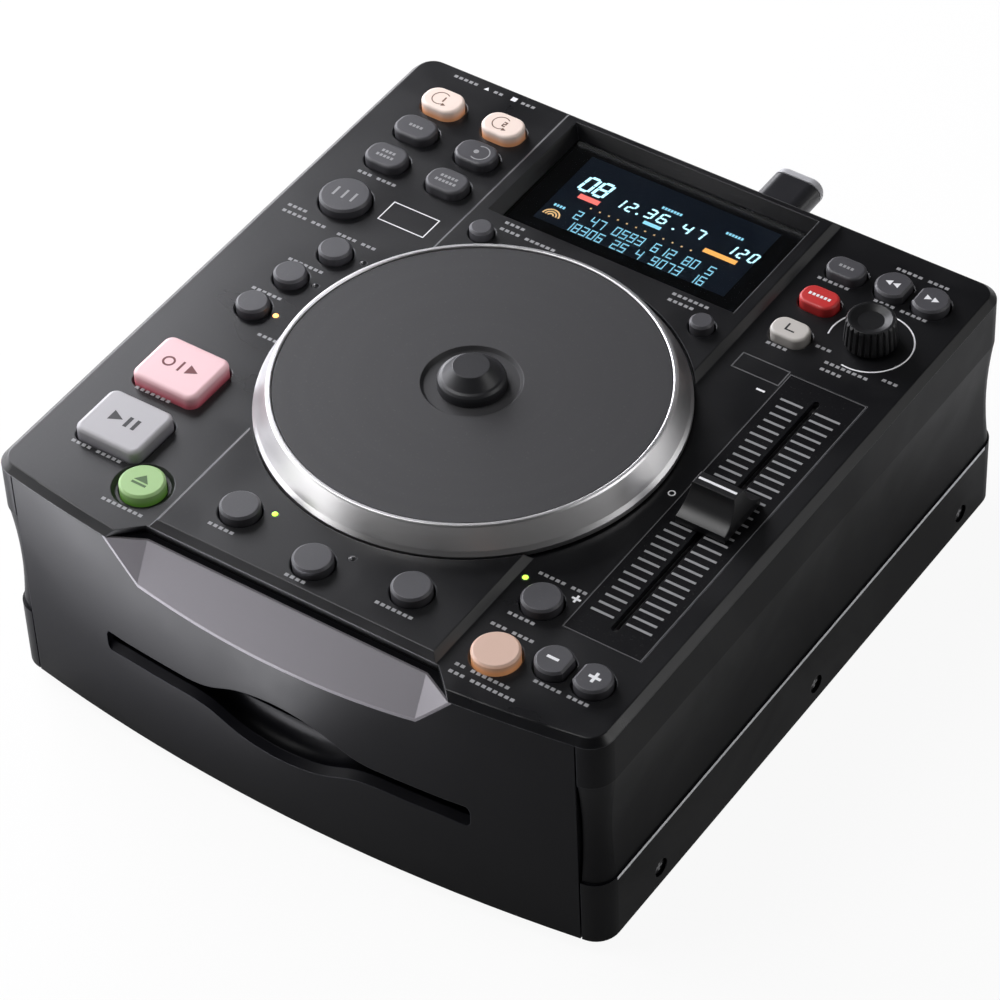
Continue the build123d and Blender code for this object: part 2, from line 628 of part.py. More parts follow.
def top_cover():
    """Deck with a bevelled rim, a raised centre plate, the wheel's well and every opening."""
    cover = prism(OUTER, UNDER_Z, DECK_Z)
    cover = chamfer(cover.edges().group_by(Axis.Z)[-1], RIM_CHAMFER)
    cover = fillet(cover.edges().group_by(Axis.Z)[-1], RIM_EDGE_R)
    plate = block(-PLATE_W / 2, PLATE_W / 2, PLATE_FRONT_Y, PLATE_BACK_Y, DECK_Z - DECK_T / 2, PLATE_Z)
    plate = chamfer(plate.edges().group_by(Axis.Z)[-1], PLATE_RISE, PLATE_BEVEL)
    plate = fillet(plate.edges().group_by(Axis.Z)[-1], PLATE_EDGE_R)
    cover += plate
    skirt = prism(case_outline(WALL), UNDER_Z - SKIRT_DROP, UNDER_Z)
    skirt -= prism(case_outline(WALL + SKIRT_T), UNDER_Z - SKIRT_DROP, UNDER_Z)
    keep_clear = FRONT_Y + NOSE_TOP_BACK + PLATE_FRONT_GAP
    skirt -= block(-BIG / 2, BIG / 2, FRONT_Y - WALL, keep_clear, UNDER_Z - SKIRT_DROP, UNDER_Z)
    skirt -= port_space(PORT_GAP)
    cover += skirt
    for x, y in BOSSES:
        cover += rod(x, y, BOARD_Z + BOARD_T, UNDER_Z, BOSS_R)
    cover -= notch()
    cover -= rod(0, JOG_Y, DECK_Z, PLATE_Z + WALL, JOG_FOOT_R + WELL_GAP)
    cover -= rod(0, JOG_Y, UNDER_Z, DECK_Z, JOG_SHAFT_R + RUNNING + BEARING_WALL)
    cover -= window_opening()
    for name in KEYS:
        cover -= key_hole(name)
    x, y = KEYS["eject_key"][1]
    dish = extrude(Pos(x, y, DECK_Z) * Circle(EJECT_DISH_R), -EJECT_DISH_DEPTH, taper=EJECT_DISH_TAPER)
    cover -= dish
    for x, y, z in led_places():
        cover -= rod(x, y, UNDER_Z, z, LED_R + LED_GAP)
    cover -= fader_recess()
    cover -= rod(KNOB_X, KNOB_Y, UNDER_Z, DECK_Z, KNOB_SHAFT_R + ENCODER_BUSH_WALL + BUSH_GAP)
    return cover


def port_space(gap):
    """Room round the USB port, from the rear wall inwards."""
    return block(USB_X - USB_W / 2 - gap, USB_X + USB_W / 2 + gap,
                 BACK_Y - USB_DEPTH - USB_BACK_WALL - gap, BACK_Y,
                 USB_Z - USB_H / 2 - gap, USB_Z + USB_H / 2 + gap)


def window_opening():
    """The sloped opening over the display."""
    low = Pos(0, WINDOW_Y, LENS_Z) * Rectangle(WINDOW_W - 2 * WINDOW_SLOPE, WINDOW_D - 2 * WINDOW_SLOPE)
    high = Pos(0, WINDOW_Y, PLATE_Z) * Rectangle(WINDOW_W, WINDOW_D)
    seat = block(-WINDOW_W / 2 + WINDOW_SLOPE, WINDOW_W / 2 - WINDOW_SLOPE,
                 WINDOW_Y - WINDOW_D / 2 + WINDOW_SLOPE, WINDOW_Y + WINDOW_D / 2 - WINDOW_SLOPE,
                 UNDER_Z - WALL, LENS_Z)
    return loft([low, high]) + seat


def display_lens():
    """Smoked lens that closes the window from below, with a rim under the deck."""
    half_w = WINDOW_W / 2 - WINDOW_SLOPE
    half_d = WINDOW_D / 2 - WINDOW_SLOPE
    lens = block(-half_w, half_w, WINDOW_Y - half_d, WINDOW_Y + half_d, UNDER_Z - LENS_T, LENS_Z)
    rim = block(-half_w - LENS_RIM, half_w + LENS_RIM, WINDOW_Y - half_d - LENS_RIM,
                WINDOW_Y + half_d + LENS_RIM, UNDER_Z - LENS_T, UNDER_Z)
    return lens + rim


def display_module():
    """Display glass in its carrier, under the lens."""
    top = UNDER_Z - LENS_T
    return block(-GLASS_W / 2, GLASS_W / 2, WINDOW_Y - GLASS_D / 2, WINDOW_Y + GLASS_D / 2, BOARD_Z, top)


def fader_recess():
    """Pocket for the fader plate and the slot below it."""
    return fader_plate_blank() + fader_slot(UNDER_Z)


def fader_plate_blank():
    half_w = FADER_PLATE_W / 2
    half_d = FADER_PLATE_D / 2
    return block(FADER_X - half_w, FADER_X + half_w, FADER_Y - half_d, FADER_Y + half_d,
                 DECK_Z - FADER_PLATE_T, DECK_Z)


def fader_slot(z0):
    outline = Pos(FADER_X, FADER_Y) * Rot(0, 0, 90) * SlotOverall(2 * FADER_SLOT_HALF, FADER_SLOT_W)
    return prism(outline, z0, DECK_Z)


def fader_plate():
    """Textured plate flush with the deck."""
    return fader_plate_blank() - fader_slot(DECK_Z - FADER_PLATE_T)


def fader_track():
    """Slide potentiometer under the deck, open along its top."""
    half_w = TRACK_W / 2
    half_d = FADER_SLOT_HALF + TRACK_END
    track = block(FADER_X - half_w, FADER_X + half_w, FADER_Y - half_d, FADER_Y + half_d,
                  UNDER_Z - TRACK_H, UNDER_Z)
    groove_half = FADER_TRAVEL / 2 + LEVER_D / 2 + LEVER_END_GAP
    groove = block(FADER_X - LEVER_W / 2 - LEVER_SIDE_GAP, FADER_X + LEVER_W / 2 + LEVER_SIDE_GAP,
                   FADER_Y - groove_half, FADER_Y + groove_half,
                   UNDER_Z - TRACK_H + TRACK_FLOOR, UNDER_Z)
    return track - groove


def fader_cap():
    """Saddle-shaped cap with a raised ridge, on its lever."""
    foot = DECK_Z + FADER_CAP_LIFT
    half = FADER_CAP_D / 2
    ridge = FADER_RIDGE_D / 2
    lip = foot + FADER_LIP_H
    top = foot + FADER_CAP_H
    saddle_z = foot + FADER_CAP_H * FADER_SADDLE
    saddle_y = (half + ridge) / 2 + FADER_SADDLE_OUT
    outline = [
        Line((-half, foot), (half, foot)),
        Line((half, foot), (half, lip)),
        ThreePointArc((half, lip), (saddle_y, saddle_z), (ridge, top)),
        Line((ridge, top), (-ridge, top)),
        ThreePointArc((-ridge, top), (-saddle_y, saddle_z), (-half, lip)),
        Line((-half, lip), (-half, foot)),
    ]
    section = Plane.YZ * make_face(outline)
    cap = extrude(section, FADER_CAP_W / 2, both=True)
    flare = (FADER_CAP_W - FADER_CAP_TOP_W) / 2
    for side in (-1, 1):
        low = Vector(side * FADER_CAP_W / 2, 0, lip)
        normal = Vector(-side * FADER_CAP_H, 0, -flare).normalized()
        cap = split(cap, bisect_by=Plane(origin=low, z_dir=normal), keep=Keep.TOP)
    lever_foot = UNDER_Z - TRACK_H + TRACK_FLOOR + LEVER_FLOOR_GAP
    lever = block(-LEVER_W / 2, LEVER_W / 2, -LEVER_D / 2, LEVER_D / 2, lever_foot, foot + LEVER_ROOT)
    return Pos(FADER_X, FADER_Y) * (cap + lever)


def ring_of(points, x, y):
    """A solid of revolution about an upright axis, from (radius, height) points."""
    section = Plane.XZ * make_face(Polyline(*points, close=True))
    return Pos(x, y) * revolve(section, Axis.Z)


def jog_ring():
    """Turned aluminium ring: conical flank, thin rim and a seat for the disc."""
    foot = DECK_Z + JOG_FOOT_GAP
    rim = DECK_Z + JOG_RISE
    disc_top = rim - JOG_DISC_SINK
    inner = JOG_RIM_R - JOG_RIM_W
    seat = disc_top - JOG_DISC_T
    ledge = inner - JOG_SEAT_W
    shoulder = foot + JOG_FOOT_BAND
    points = [(JOG_FOOT_R, foot), (JOG_FOOT_R, shoulder),
              (JOG_FOOT_R - JOG_FOOT_BEVEL_W, shoulder + JOG_FOOT_BEVEL_H),
              (JOG_RIM_R + JOG_RIM_BEVEL, rim - JOG_RIM_BEVEL), (JOG_RIM_R, rim),
              (inner + JOG_EDGE, rim), (inner, rim - JOG_EDGE), (inner, seat), (ledge, seat),
              (ledge, seat - JOG_SEAT_T), (JOG_FOOT_R - JOG_FOOT_W, foot)]
    return ring_of(points, 0, JOG_Y)


def jog_disc():
    """Platter disc with a dished middle and a hub below that grips the shaft."""
    top = DECK_Z + JOG_RISE - JOG_DISC_SINK
    foot = top - JOG_DISC_T
    radius = JOG_RIM_R - JOG_RIM_W - JOG_DISC_GAP
    hub_foot = foot - JOG_HUB_L
    hub_r = JOG_SHAFT_R + JOG_HUB_WALL
    dish = top - JOG_DISH_DEPTH
    points = [(JOG_SHAFT_R, hub_foot), (hub_r, hub_foot), (hub_r, foot), (radius, foot),
              (radius, top - JOG_EDGE), (radius - JOG_EDGE, top), (JOG_DISH_R, top),
              (JOG_DISH_R - JOG_DISH_SLOPE, dish), (JOG_SHAFT_R, dish)]
    return ring_of(points, 0, JOG_Y)


def jog_cap():
    """Round-shouldered cap in the disc's dish."""
    foot = DECK_Z + JOG_RISE - JOG_DISC_SINK - JOG_DISH_DEPTH
    top = foot + JOG_CAP_H
    waist = foot + JOG_CAP_WAIST
    shoulder = [(JOG_CAP_R - JOG_CAP_SHOULDER * (1 - cos(radians(turn))),
                 waist + JOG_CAP_SHOULDER * sin(radians(turn))) for turn in JOG_CAP_TURNS]
    points = [(0, foot), (JOG_CAP_R, foot), *shoulder, (JOG_CAP_TOP_R, top), (0, top)]
    return ring_of(points, 0, JOG_Y)


def jog_shaft():
    """Steel shaft that carries the wheel."""
    top = DECK_Z + JOG_RISE - JOG_DISC_SINK - JOG_DISH_DEPTH
    return rod(0, JOG_Y, top - JOG_SHAFT_L, top, JOG_SHAFT_R)


def jog_bearing():
    """Flanged bush that hangs under the deck and takes the shaft."""
    bore = JOG_SHAFT_R + RUNNING
    outer = bore + BEARING_WALL
    foot = UNDER_Z - BEARING_DROP
    flange_foot = UNDER_Z - BEARING_FLANGE_T
    top = DECK_Z + BEARING_RISE
    points = [(bore, foot), (outer, foot), (outer, flange_foot), (BEARING_FLANGE_R, flange_foot),
              (BEARING_FLANGE_R, UNDER_Z), (outer, UNDER_Z), (outer, top), (bore, top)]
    return ring_of(points, 0, JOG_Y)


def parameter_knob():
    """Fluted knob with a dished top, bored for its shaft."""
    foot = DECK_Z + KNOB_LIFT
    top = foot + KNOB_H - KNOB_LIFT
    dish = top - KNOB_DISH
    grip_foot = foot + KNOB_GRIP_FOOT
    grip_top = top - KNOB_CROWN_H
    crown_r = KNOB_TOP_R + KNOB_CROWN_W
    land_r = KNOB_TOP_R - KNOB_LAND
    points = [(0, foot), (KNOB_R, foot), (KNOB_R, grip_foot), (crown_r, grip_top), (KNOB_TOP_R, top),
              (land_r, top), (land_r - KNOB_BOWL_W, dish), (0, dish)]
    knob = ring_of(points, 0, 0)
    lean = Vector(crown_r - KNOB_R, 0, grip_top - grip_foot)
    flute = Rot(0, 0, 45) * Box(KNOB_FLUTE_W, KNOB_FLUTE_W, 2 * KNOB_H)
    base = Plane(origin=(KNOB_R + KNOB_FLUTE_OUT, 0, grip_foot), x_dir=(0, 1, 0), z_dir=lean)
    for index in range(KNOB_FLUTES):
        knob -= Rot(0, 0, index * 360 / KNOB_FLUTES) * (base * flute)
    knob -= rod(0, 0, foot, dish - KNOB_BORE_ROOF, KNOB_SHAFT_R + RUNNING)
    return Pos(KNOB_X, KNOB_Y) * knob


def knob_shaft():
    """Shaft of the encoder, which the knob turns on and pushes down."""
    top = DECK_Z + KNOB_H - KNOB_DISH - KNOB_BORE_ROOF - SHAFT_TOP_GAP
    return rod(KNOB_X, KNOB_Y, knob_shaft_foot(), top, KNOB_SHAFT_R)


def knob_shaft_foot():
    return BOARD_Z + BOARD_T + ENCODER_FLOOR


def knob_encoder():
    """Encoder body under the deck with its bush."""
    half = ENCODER_W / 2
    body = block(KNOB_X - half, KNOB_X + half, KNOB_Y - half, KNOB_Y + half,
                 BOARD_Z + BOARD_T, UNDER_Z)
    bush = rod(KNOB_X, KNOB_Y, UNDER_Z, DECK_Z - BUSH_DROP, KNOB_SHAFT_R + ENCODER_BUSH_WALL)
    bore_foot = knob_shaft_foot() - KNOB_PUSH - SHAFT_FOOT_GAP
    bore = rod(KNOB_X, KNOB_Y, bore_foot, DECK_Z, KNOB_SHAFT_R + RUNNING)
    return body + bush - bore


def front_panel():
    """Bowed front with the disc slot, its finger scoop and the seat of the name plate."""
    edge = SEAM_X - SEAM_GAP / 2
    wall = prism(OUTER, CASE_Z, UNDER_Z) - prism(INNER, CASE_Z, UNDER_Z)
    nose = prism(OUTER, DECK_Z - NOSE_FOOT_DROP - NOSE_BLOCK_BELOW, DECK_Z - NOSE_DROP)
    nose_half = NOSE_WING_HALF + NOSE_BLOCK_SIDE
    nose &= block(-nose_half, nose_half, FRONT_Y, PLATE_FRONT_Y + NOSE_BLOCK_BACK, CASE_Z, DECK_Z)
    panel = wall & block(-edge, edge, FRONT_Y, FRONT_Y + FRONT_BOW + WALL, CASE_Z, DECK_Z)
    panel += nose + slot_block()
    panel -= nose_void(NOSE_T)
    return panel - slot_cut()


def slot_block():
    """Thick stretch of the front that the slot and the scoop are cut into."""
    half = SLOT_W / 2 + WALL
    low = MOUTH_Z - SCOOP_DOWN - BLOCK_RIM
    high = SLOT_Z + SCOOP_UP + BLOCK_RIM
    block_outline = OUTER & Pos(0, FRONT_Y + SLOT_DEPTH / 2) * Rectangle(2 * half, SLOT_DEPTH)
    return prism(block_outline, low, high)


def mouth_section(x):
    """Section of the mouth across the front: bevelled lower lip, scooped floor, slit and roof."""
    swell = max(0, 1 - (x / SCOOP_HALF) ** 2)
    face = front_y(x)
    back = max(FRONT_Y + SCOOP_DEPTH, face + LIP + SLIT_LIP)
    low = MOUTH_Z - SCOOP_DOWN * swell
    high = SLOT_Z + SCOOP_UP * swell
    belly = MOUTH_BELLY + SCOOP_BELLY * swell
    lip = (face + LIP, low + LIP)
    floor_middle = ((face + LIP + back) / 2 + belly, (low + LIP + SLIT_Z) / 2 - belly)
    roof_middle = ((face + back) / 2 + belly, (high + SLOT_Z) / 2 + belly)
    outline = [
        Line((face - LIP, high), (face - LIP, low - LIP)),
        Line((face - LIP, low - LIP), lip),
        ThreePointArc(lip, floor_middle, (back, SLIT_Z)),
        Line((back, SLIT_Z), (back, SLOT_Z)),
        ThreePointArc((back, SLOT_Z), roof_middle, (face, high)),
        Line((face, high), (face - LIP, high)),
    ]
    return Plane.YZ.offset(x) * make_face(outline)


def slot_cut():
    """Mouth with its finger scoop, rounded at both ends, and the slit behind it."""
    half = SLOT_W / 2 + 1
    stations = [half * index / MOUTH_STATIONS for index in range(-MOUTH_STATIONS, MOUTH_STATIONS + 1)]
    mouth = loft([mouth_section(x) for x in stations])
    facing = Plane(origin=(0, FRONT_Y, 0), x_dir=(1, 0, 0), z_dir=(0, -1, 0))
    mouth_h = SLOT_Z - MOUTH_Z + 2
    ends = Pos(0, (SLOT_Z + MOUTH_Z) / 2) * RectangleRounded(SLOT_W, mouth_h, MOUTH_END_R)
    ends += Pos(0, SLOT_Z) * Rectangle(SLOT_W - 4 * MOUTH_END_R, 2 * CASE_H)
    mouth &= extrude(facing * ends, SLOT_DEPTH, both=True)
    slit_w = SLOT_W - 2 * SLIT_INSET
    slit = Pos(0, SLOT_Z - SLIT_H / 2) * RectangleRounded(slit_w, SLIT_H, SLIT_END_R)
    through = extrude(facing * slit, SLOT_DEPTH + 4.0, both=True)
    return mouth + through


def name_plate():
    """Formed sheet with two wings, in the pocket above the slot."""
    sheet = nose_void(NOSE_T) - nose_void(0)
    return sheet & prism(OUTER, CASE_Z, DECK_Z - NOSE_DROP)


def hollow_section(outer):
    """Section of the long hollow in a flank, in a plane of distance and height."""
    foot = CASE_Z + HOLLOW_FOOT
    head = DECK_Z - HOLLOW_TOP_DROP
    middle = foot + HOLLOW_DEEPEST * (head - foot)
    curve = ThreePointArc((outer - LEDGE, foot), (outer - HOLLOW_DEPTH, middle), (outer, head))
    beyond = outer + WALL
    return make_face([curve, Line((outer, head), (beyond, head)), Line((beyond, head), (beyond, foot)),
                      Line((beyond, foot), (outer - LEDGE, foot))])


def side_screws():
    """Places of the screws along one flank."""
    return [FRONT_Y + SCREW_FIRST_Y + index * SCREW_PITCH for index in range(3)]


def right_side():
    """Right flank with both corners, hollowed along its length."""
    edge = SEAM_X + SEAM_GAP / 2
    panel = prism(OUTER, CASE_Z, UNDER_Z) - prism(INNER, CASE_Z, UNDER_Z)
    panel &= block(edge, HALF_W + 1, FRONT_Y - 1, BACK_Y + 1, CASE_Z, UNDER_Z)
    front_centre = FRONT_Y + FRONT_BOW + CORNER_R - HOLLOW_FRONT_TRIM
    back_centre = BACK_Y - CORNER_R
    straight = Plane(origin=(0, back_centre, 0), x_dir=(1, 0, 0), z_dir=(0, -1, 0))
    panel -= extrude(straight * hollow_section(HALF_W), back_centre - front_centre)
    corner = Plane.XZ * hollow_section(CORNER_R)
    turn = revolve(corner, Axis.Z, 90)
    panel -= Pos(HALF_W - CORNER_R, back_centre) * turn
    panel -= Pos(HALF_W - CORNER_R, front_centre) * Rot(0, 0, -90) * turn
    for y in side_screws():
        z = CASE_Z + SCREW_Z
        panel -= rod_x(y, z, HALF_W - WALL, HALF_W, SCREW_R + SCREW_HOLE_GAP)
        panel -= rod_x(y, z, HALF_W - SCREW_SINK, HALF_W, SCREW_HEAD_R + SCREW_HEAD_GAP)
    return panel


def case_screws():
    """Side screws and base screws, each a head on a shank."""
    screws = []
    for side in (-1, 1):
        for y in side_screws():
            z = CASE_Z + SCREW_Z
            seat = side * (HALF_W - SCREW_SINK)
            face = seat + side * SCREW_HEAD_T
            tip = side * (HALF_W - WALL - BASE_T - SCREW_TIP)
            head = rod_x(y, z, min(seat, face), max(seat, face), SCREW_HEAD_R)
            shank = rod_x(y, z, min(seat, tip), max(seat, tip), SCREW_R)
            screws.append(head + shank)
    return Compound(children=screws)


def rear_panel():
    """Flat rear wall with its cut-outs."""
    edge = SEAM_X - SEAM_GAP / 2
    panel = block(-edge, edge, BACK_Y - WALL, BACK_Y, CASE_Z, UNDER_Z)
    half = POWER_W / 2 + KEY_GAP
    x = -HALF_W + POWER_X_INSET
    panel -= block(x - half, x + half, BACK_Y - WALL, BACK_Y, REAR_Z - half, REAR_Z + half)
    x = -HALF_W + INLET_X_INSET
    panel -= block(x - INLET_W / 2, x + INLET_W / 2, BACK_Y - WALL, BACK_Y,
                   REAR_Z - INLET_H / 2, REAR_Z + INLET_H / 2)
    for jack_x in jack_places():
        panel -= rod_y(jack_x, REAR_Z, BACK_Y - WALL, BACK_Y, JACK_SKIRT_R)
    panel -= block(USB_X - USB_W / 2, USB_X + USB_W / 2, BACK_Y - WALL, BACK_Y,
                   USB_Z - USB_H / 2, USB_Z + USB_H / 2)
    return panel


def jack_places():
    return [JACK_X - JACK_PITCH / 2, JACK_X + JACK_PITCH / 2]


def bottom_plate():
    """Steel base with upturned flanks, posts for the main board and screw holes."""
    base = prism(INNER, CASE_Z, CASE_Z + BASE_T)
    flank = prism(INNER, CASE_Z, CASE_Z + FLANGE_H)
    flank -= prism(case_outline(WALL + BASE_T), CASE_Z, CASE_Z + FLANGE_H)
    front_end = FRONT_Y + FRONT_BOW + CORNER_R + WALL
    back_end = BACK_Y - CORNER_R - WALL
    for side in (-1, 1):
        x0, x1 = sorted((side * (HALF_W - WALL - 2 * BASE_T), side * HALF_W))
        base += flank & block(x0, x1, front_end, back_end, CASE_Z, CASE_Z + FLANGE_H)
    for x, y in board_posts():
        base += rod(x, y, CASE_Z, CASE_Z + BASE_T + MAIN_BOARD_LIFT, POST_R)
    for y in side_screws():
        base -= rod_x(y, CASE_Z + SCREW_Z, -HALF_W, HALF_W, SCREW_R + SCREW_HOLE_GAP / 2)
    return base


def board_posts():
    x = MAIN_BOARD_W / 2 - POST_INSET
    y1 = BACK_Y - WALL - MAIN_BOARD_BACK_GAP - POST_INSET
    y0 = y1 - MAIN_BOARD_D + 2 * POST_INSET
    return [(-x, y0), (x, y0), (-x, y1), (x, y1)]


def main_board():
    """Main circuit board with its larger parts."""
    z0 = CASE_Z + BASE_T + MAIN_BOARD_LIFT
    z1 = z0 + BOARD_T
    y1 = BACK_Y - WALL - MAIN_BOARD_BACK_GAP
    board = block(-MAIN_BOARD_W / 2, MAIN_BOARD_W / 2, y1 - MAIN_BOARD_D, y1, z0, z1)
    for x, back, width, depth, height in (CHIP, TRANSFORMER):
        board += Pos(x, y1 - back, z1 + height / 2) * Box(width, depth, height)
    for x in CAPACITORS_X:
        board += rod(x, y1 - CAPACITOR_BACK, z1, z1 + CAPACITOR_H, CAPACITOR_R)
    x = -HALF_W + POWER_X_INSET
    front = BACK_Y - WALL - POWER_STEM - POWER_TRAVEL - POWER_SPARE
    board += block(x - SWITCH_BODY_W / 2, x + SWITCH_BODY_W / 2, front - SWITCH_BODY_D, front,
                   z1, z1 + SWITCH_BODY_H)
    return board


def feet():
    """Four rubber feet with bevelled soles."""
    pads = []
    for x in (-HALF_W + FOOT_INSET_X, HALF_W - FOOT_INSET_X):
        for y in (FRONT_Y + FOOT_INSET_Y, BACK_Y - FOOT_INSET_Y):
            foot = rod(x, y, 0, CASE_Z, FOOT_R)
            pads.append(chamfer(foot.edges().group_by(Axis.Z)[0], FOOT_BEVEL))
    return Compound(children=pads)


def key_board():
    """Key board under the deck, cut away round the wheel, fader, display and knob."""
    z0 = BOARD_Z
    z1 = BOARD_Z + BOARD_T
    board = prism(case_outline(WALL + SKIRT_T + BOARD_GAP), z0, z1)
    board -= block(-BIG, BIG, FRONT_Y, FRONT_Y + BOARD_FRONT_GAP, z0, z1)
    board -= rod(0, JOG_Y, z0, z1, JOG_FOOT_R - BOARD_UNDER_WHEEL)
    half_w = TRACK_W / 2 + BOARD_GAP
    half_d = FADER_SLOT_HALF + TRACK_END + BOARD_GAP
    board -= block(FADER_X - half_w, FADER_X + half_w, FADER_Y - half_d, FADER_Y + half_d, z0, z1)
    half_w = GLASS_W / 2 + BOARD_GAP
    half_d = GLASS_D / 2 + BOARD_GAP
    board -= block(-half_w, half_w, WINDOW_Y - half_d, WINDOW_Y + half_d, z0, z1)
    board -= port_space(PORT_GAP / 2)
    half = SWITCH_W / 2
    switch_top = UNDER_Z - KEY_FLANGE_DROP - KEY_FLANGE_T - STEM_L - KEY_TRAVEL - STOP_GAP
    for outline, (x, y), _ in KEYS.values():
        board += block(x - half, x + half, y - half, y + half, z1, switch_top)
    return board


def indicator_lenses():
    """Light pipes of the indicators, flush with the deck and standing on the key board."""
    lenses = []
    for x, y, z in led_places():
        lenses.append(rod(x, y, BOARD_Z + BOARD_T, z, LED_R))
    return Compound(children=lenses)


def loader_frame():
    """Folded tray of the disc loader on four legs, with the spindle motor and the sled's rods."""
    x = LOADER_W / 2
    y0 = FRONT_Y + LOADER_FRONT_GAP
    y1 = y0 + LOADER_D
    z0 = LOADER_Z
    z1 = z0 + LOADER_T
    frame = block(-x, x, y0, y1, z0, z1)
    for side in (-1, 1):
        a, b = sorted((side * x, side * (x - LOADER_T)))
        frame += block(a, b, y0, y1, z0, z0 + LOADER_WALL_H)
        for y in (y0, y1 - LEG_W):
            a, b = sorted((side * x, side * (x - LEG_W)))
            frame += block(a, b, y, y + LEG_W, CASE_Z + BASE_T, z0)
    frame += rod(0, HUB_Y, z1, z1 + HUB_MOTOR_H, HUB_MOTOR_R)
    frame -= rod(0, HUB_Y, z0, z1 + HUB_MOTOR_H, HUB_SHAFT_R + RUNNING)
    bar_y = HUB_Y + ROD_BACK_OF_HUB
    for y in (bar_y, bar_y + ROD_L):
        frame += block(-SLED_W / 2, SLED_W / 2, y - BAR_D / 2, y + BAR_D / 2, z1, z1 + BAR_H)
    for side in (-1, 1):
        frame += rod_y(side * ROD_SPREAD, rod_z(), bar_y, bar_y + ROD_L, ROD_R)
    frame -= rod_x(FRONT_Y + ROLLER_BACK, roller_z(), -x, x, ROLLER_SHAFT_R + RUNNING)
    return frame


def rod_z():
    return LOADER_Z + LOADER_T + BAR_H - ROD_R - ROD_ROOF


def roller_z():
    return SLIT_Z - ROLLER_DROP - ROLLER_R


def feed_roller():
    """Rubber feed roller on its shaft, just inside the slot."""
    y = FRONT_Y + ROLLER_BACK
    z = roller_z()
    return rod_x(y, z, -ROLLER_L / 2, ROLLER_L / 2, ROLLER_R) + \
        rod_x(y, z, -LOADER_W / 2 - ROLLER_SHAFT_END, LOADER_W / 2 + ROLLER_SHAFT_END, ROLLER_SHAFT_R)


def spindle_hub():
    """Turntable hub with its centring cone."""
    shaft_foot = LOADER_Z + HUB_GAP
    foot = LOADER_Z + LOADER_T + HUB_MOTOR_H + HUB_GAP
    flange = foot + HUB_FLANGE_T
    top = SLIT_Z - HUB_CONE_DROP
    points = [(0, shaft_foot), (HUB_SHAFT_R, shaft_foot), (HUB_SHAFT_R, foot), (HUB_R, foot),
              (HUB_R, flange), (HUB_CONE_R, flange), (HUB_CONE_R - HUB_CONE_TAPER, top), (0, top)]
    return ring_of(points, 0, HUB_Y)


def pickup_sled():
    """Laser sled on its two rods."""
    z0 = LOADER_Z + LOADER_T + SLED_GAP
    z1 = z0 + SLED_H
    y = HUB_Y + ROD_BACK_OF_HUB + BAR_D / 2 + SLED_REST
    sled = block(-SLED_W / 2, SLED_W / 2, y, y + SLED_D, z0, z1)
    sled += rod(0, y + SLED_D / 2, z1, z1 + SLED_LENS_H, SLED_LENS_R)
    for side in (-1, 1):
        sled -= rod_y(side * ROD_SPREAD, rod_z(), y, y + SLED_D, ROD_R + RUNNING)
    return sled


def power_key():
    """Square power key that stands out of the rear."""
    x = -HALF_W + POWER_X_INSET
    half = POWER_W / 2
    inner = BACK_Y - WALL - POWER_STEM
    key = block(x - half, x + half, inner, BACK_Y + POWER_OUT, REAR_Z - half, REAR_Z + half)
    key = chamfer(key.edges().group_by(Axis.Y)[-1], POWER_EDGE)
    return key


def ac_inlet():
    """Two-pin mains inlet in the rear wall."""
    x = -HALF_W + INLET_X_INSET
    body = block(x - INLET_W / 2, x + INLET_W / 2, BACK_Y - WALL - INLET_BEHIND, BACK_Y + INLET_OUT,
                 REAR_Z - INLET_H / 2, REAR_Z + INLET_H / 2)
    well = Plane(origin=(x, BACK_Y + INLET_OUT, REAR_Z), x_dir=(1, 0, 0), z_dir=(0, -1, 0))
    body -= extrude(well * SlotOverall(INLET_WELL_W, INLET_WELL_H), INLET_WELL_D)
    pin_y = BACK_Y - INLET_WELL_D
    for side in (-1, 1):
        pin_x = x + side * INLET_PIN_SPREAD
        body += rod_y(pin_x, REAR_Z, pin_y, BACK_Y - INLET_PIN_SINK, INLET_PIN_R)
    return body


def rear_connectors():
    """Two line jacks and a USB port in the rear wall."""
    pieces = []
    for x in jack_places():
        half = JACK_BODY_W / 2
        inner = BACK_Y - WALL - JACK_SKIRT_OUT
        end = BACK_Y + JACK_SKIRT_OUT + JACK_OUT
        board_top = CASE_Z + BASE_T + MAIN_BOARD_LIFT + BOARD_T
        jack = rod_y(x, REAR_Z, inner, BACK_Y + JACK_SKIRT_OUT, JACK_SKIRT_R)
        jack += block(x - half, x + half, inner - JACK_BODY_D, inner, board_top, REAR_Z + half)
        jack += rod_y(x, REAR_Z, BACK_Y, end, JACK_R)
        jack -= rod_y(x, REAR_Z, BACK_Y - JACK_BORE_SINK, end, JACK_BORE_R)
        pieces.append(jack)
    floor = BACK_Y - USB_DEPTH
    face = BACK_Y + USB_OUT
    shell = block(USB_X - USB_W / 2, USB_X + USB_W / 2, floor - USB_BACK_WALL, face,
                  USB_Z - USB_H / 2, USB_Z + USB_H / 2)
    shell -= block(USB_X - USB_MOUTH_W / 2, USB_X + USB_MOUTH_W / 2, floor, face,
                   USB_Z - USB_MOUTH_H / 2, USB_Z + USB_MOUTH_H / 2)
    pieces.append(shell)
    return Compound(children=pieces)


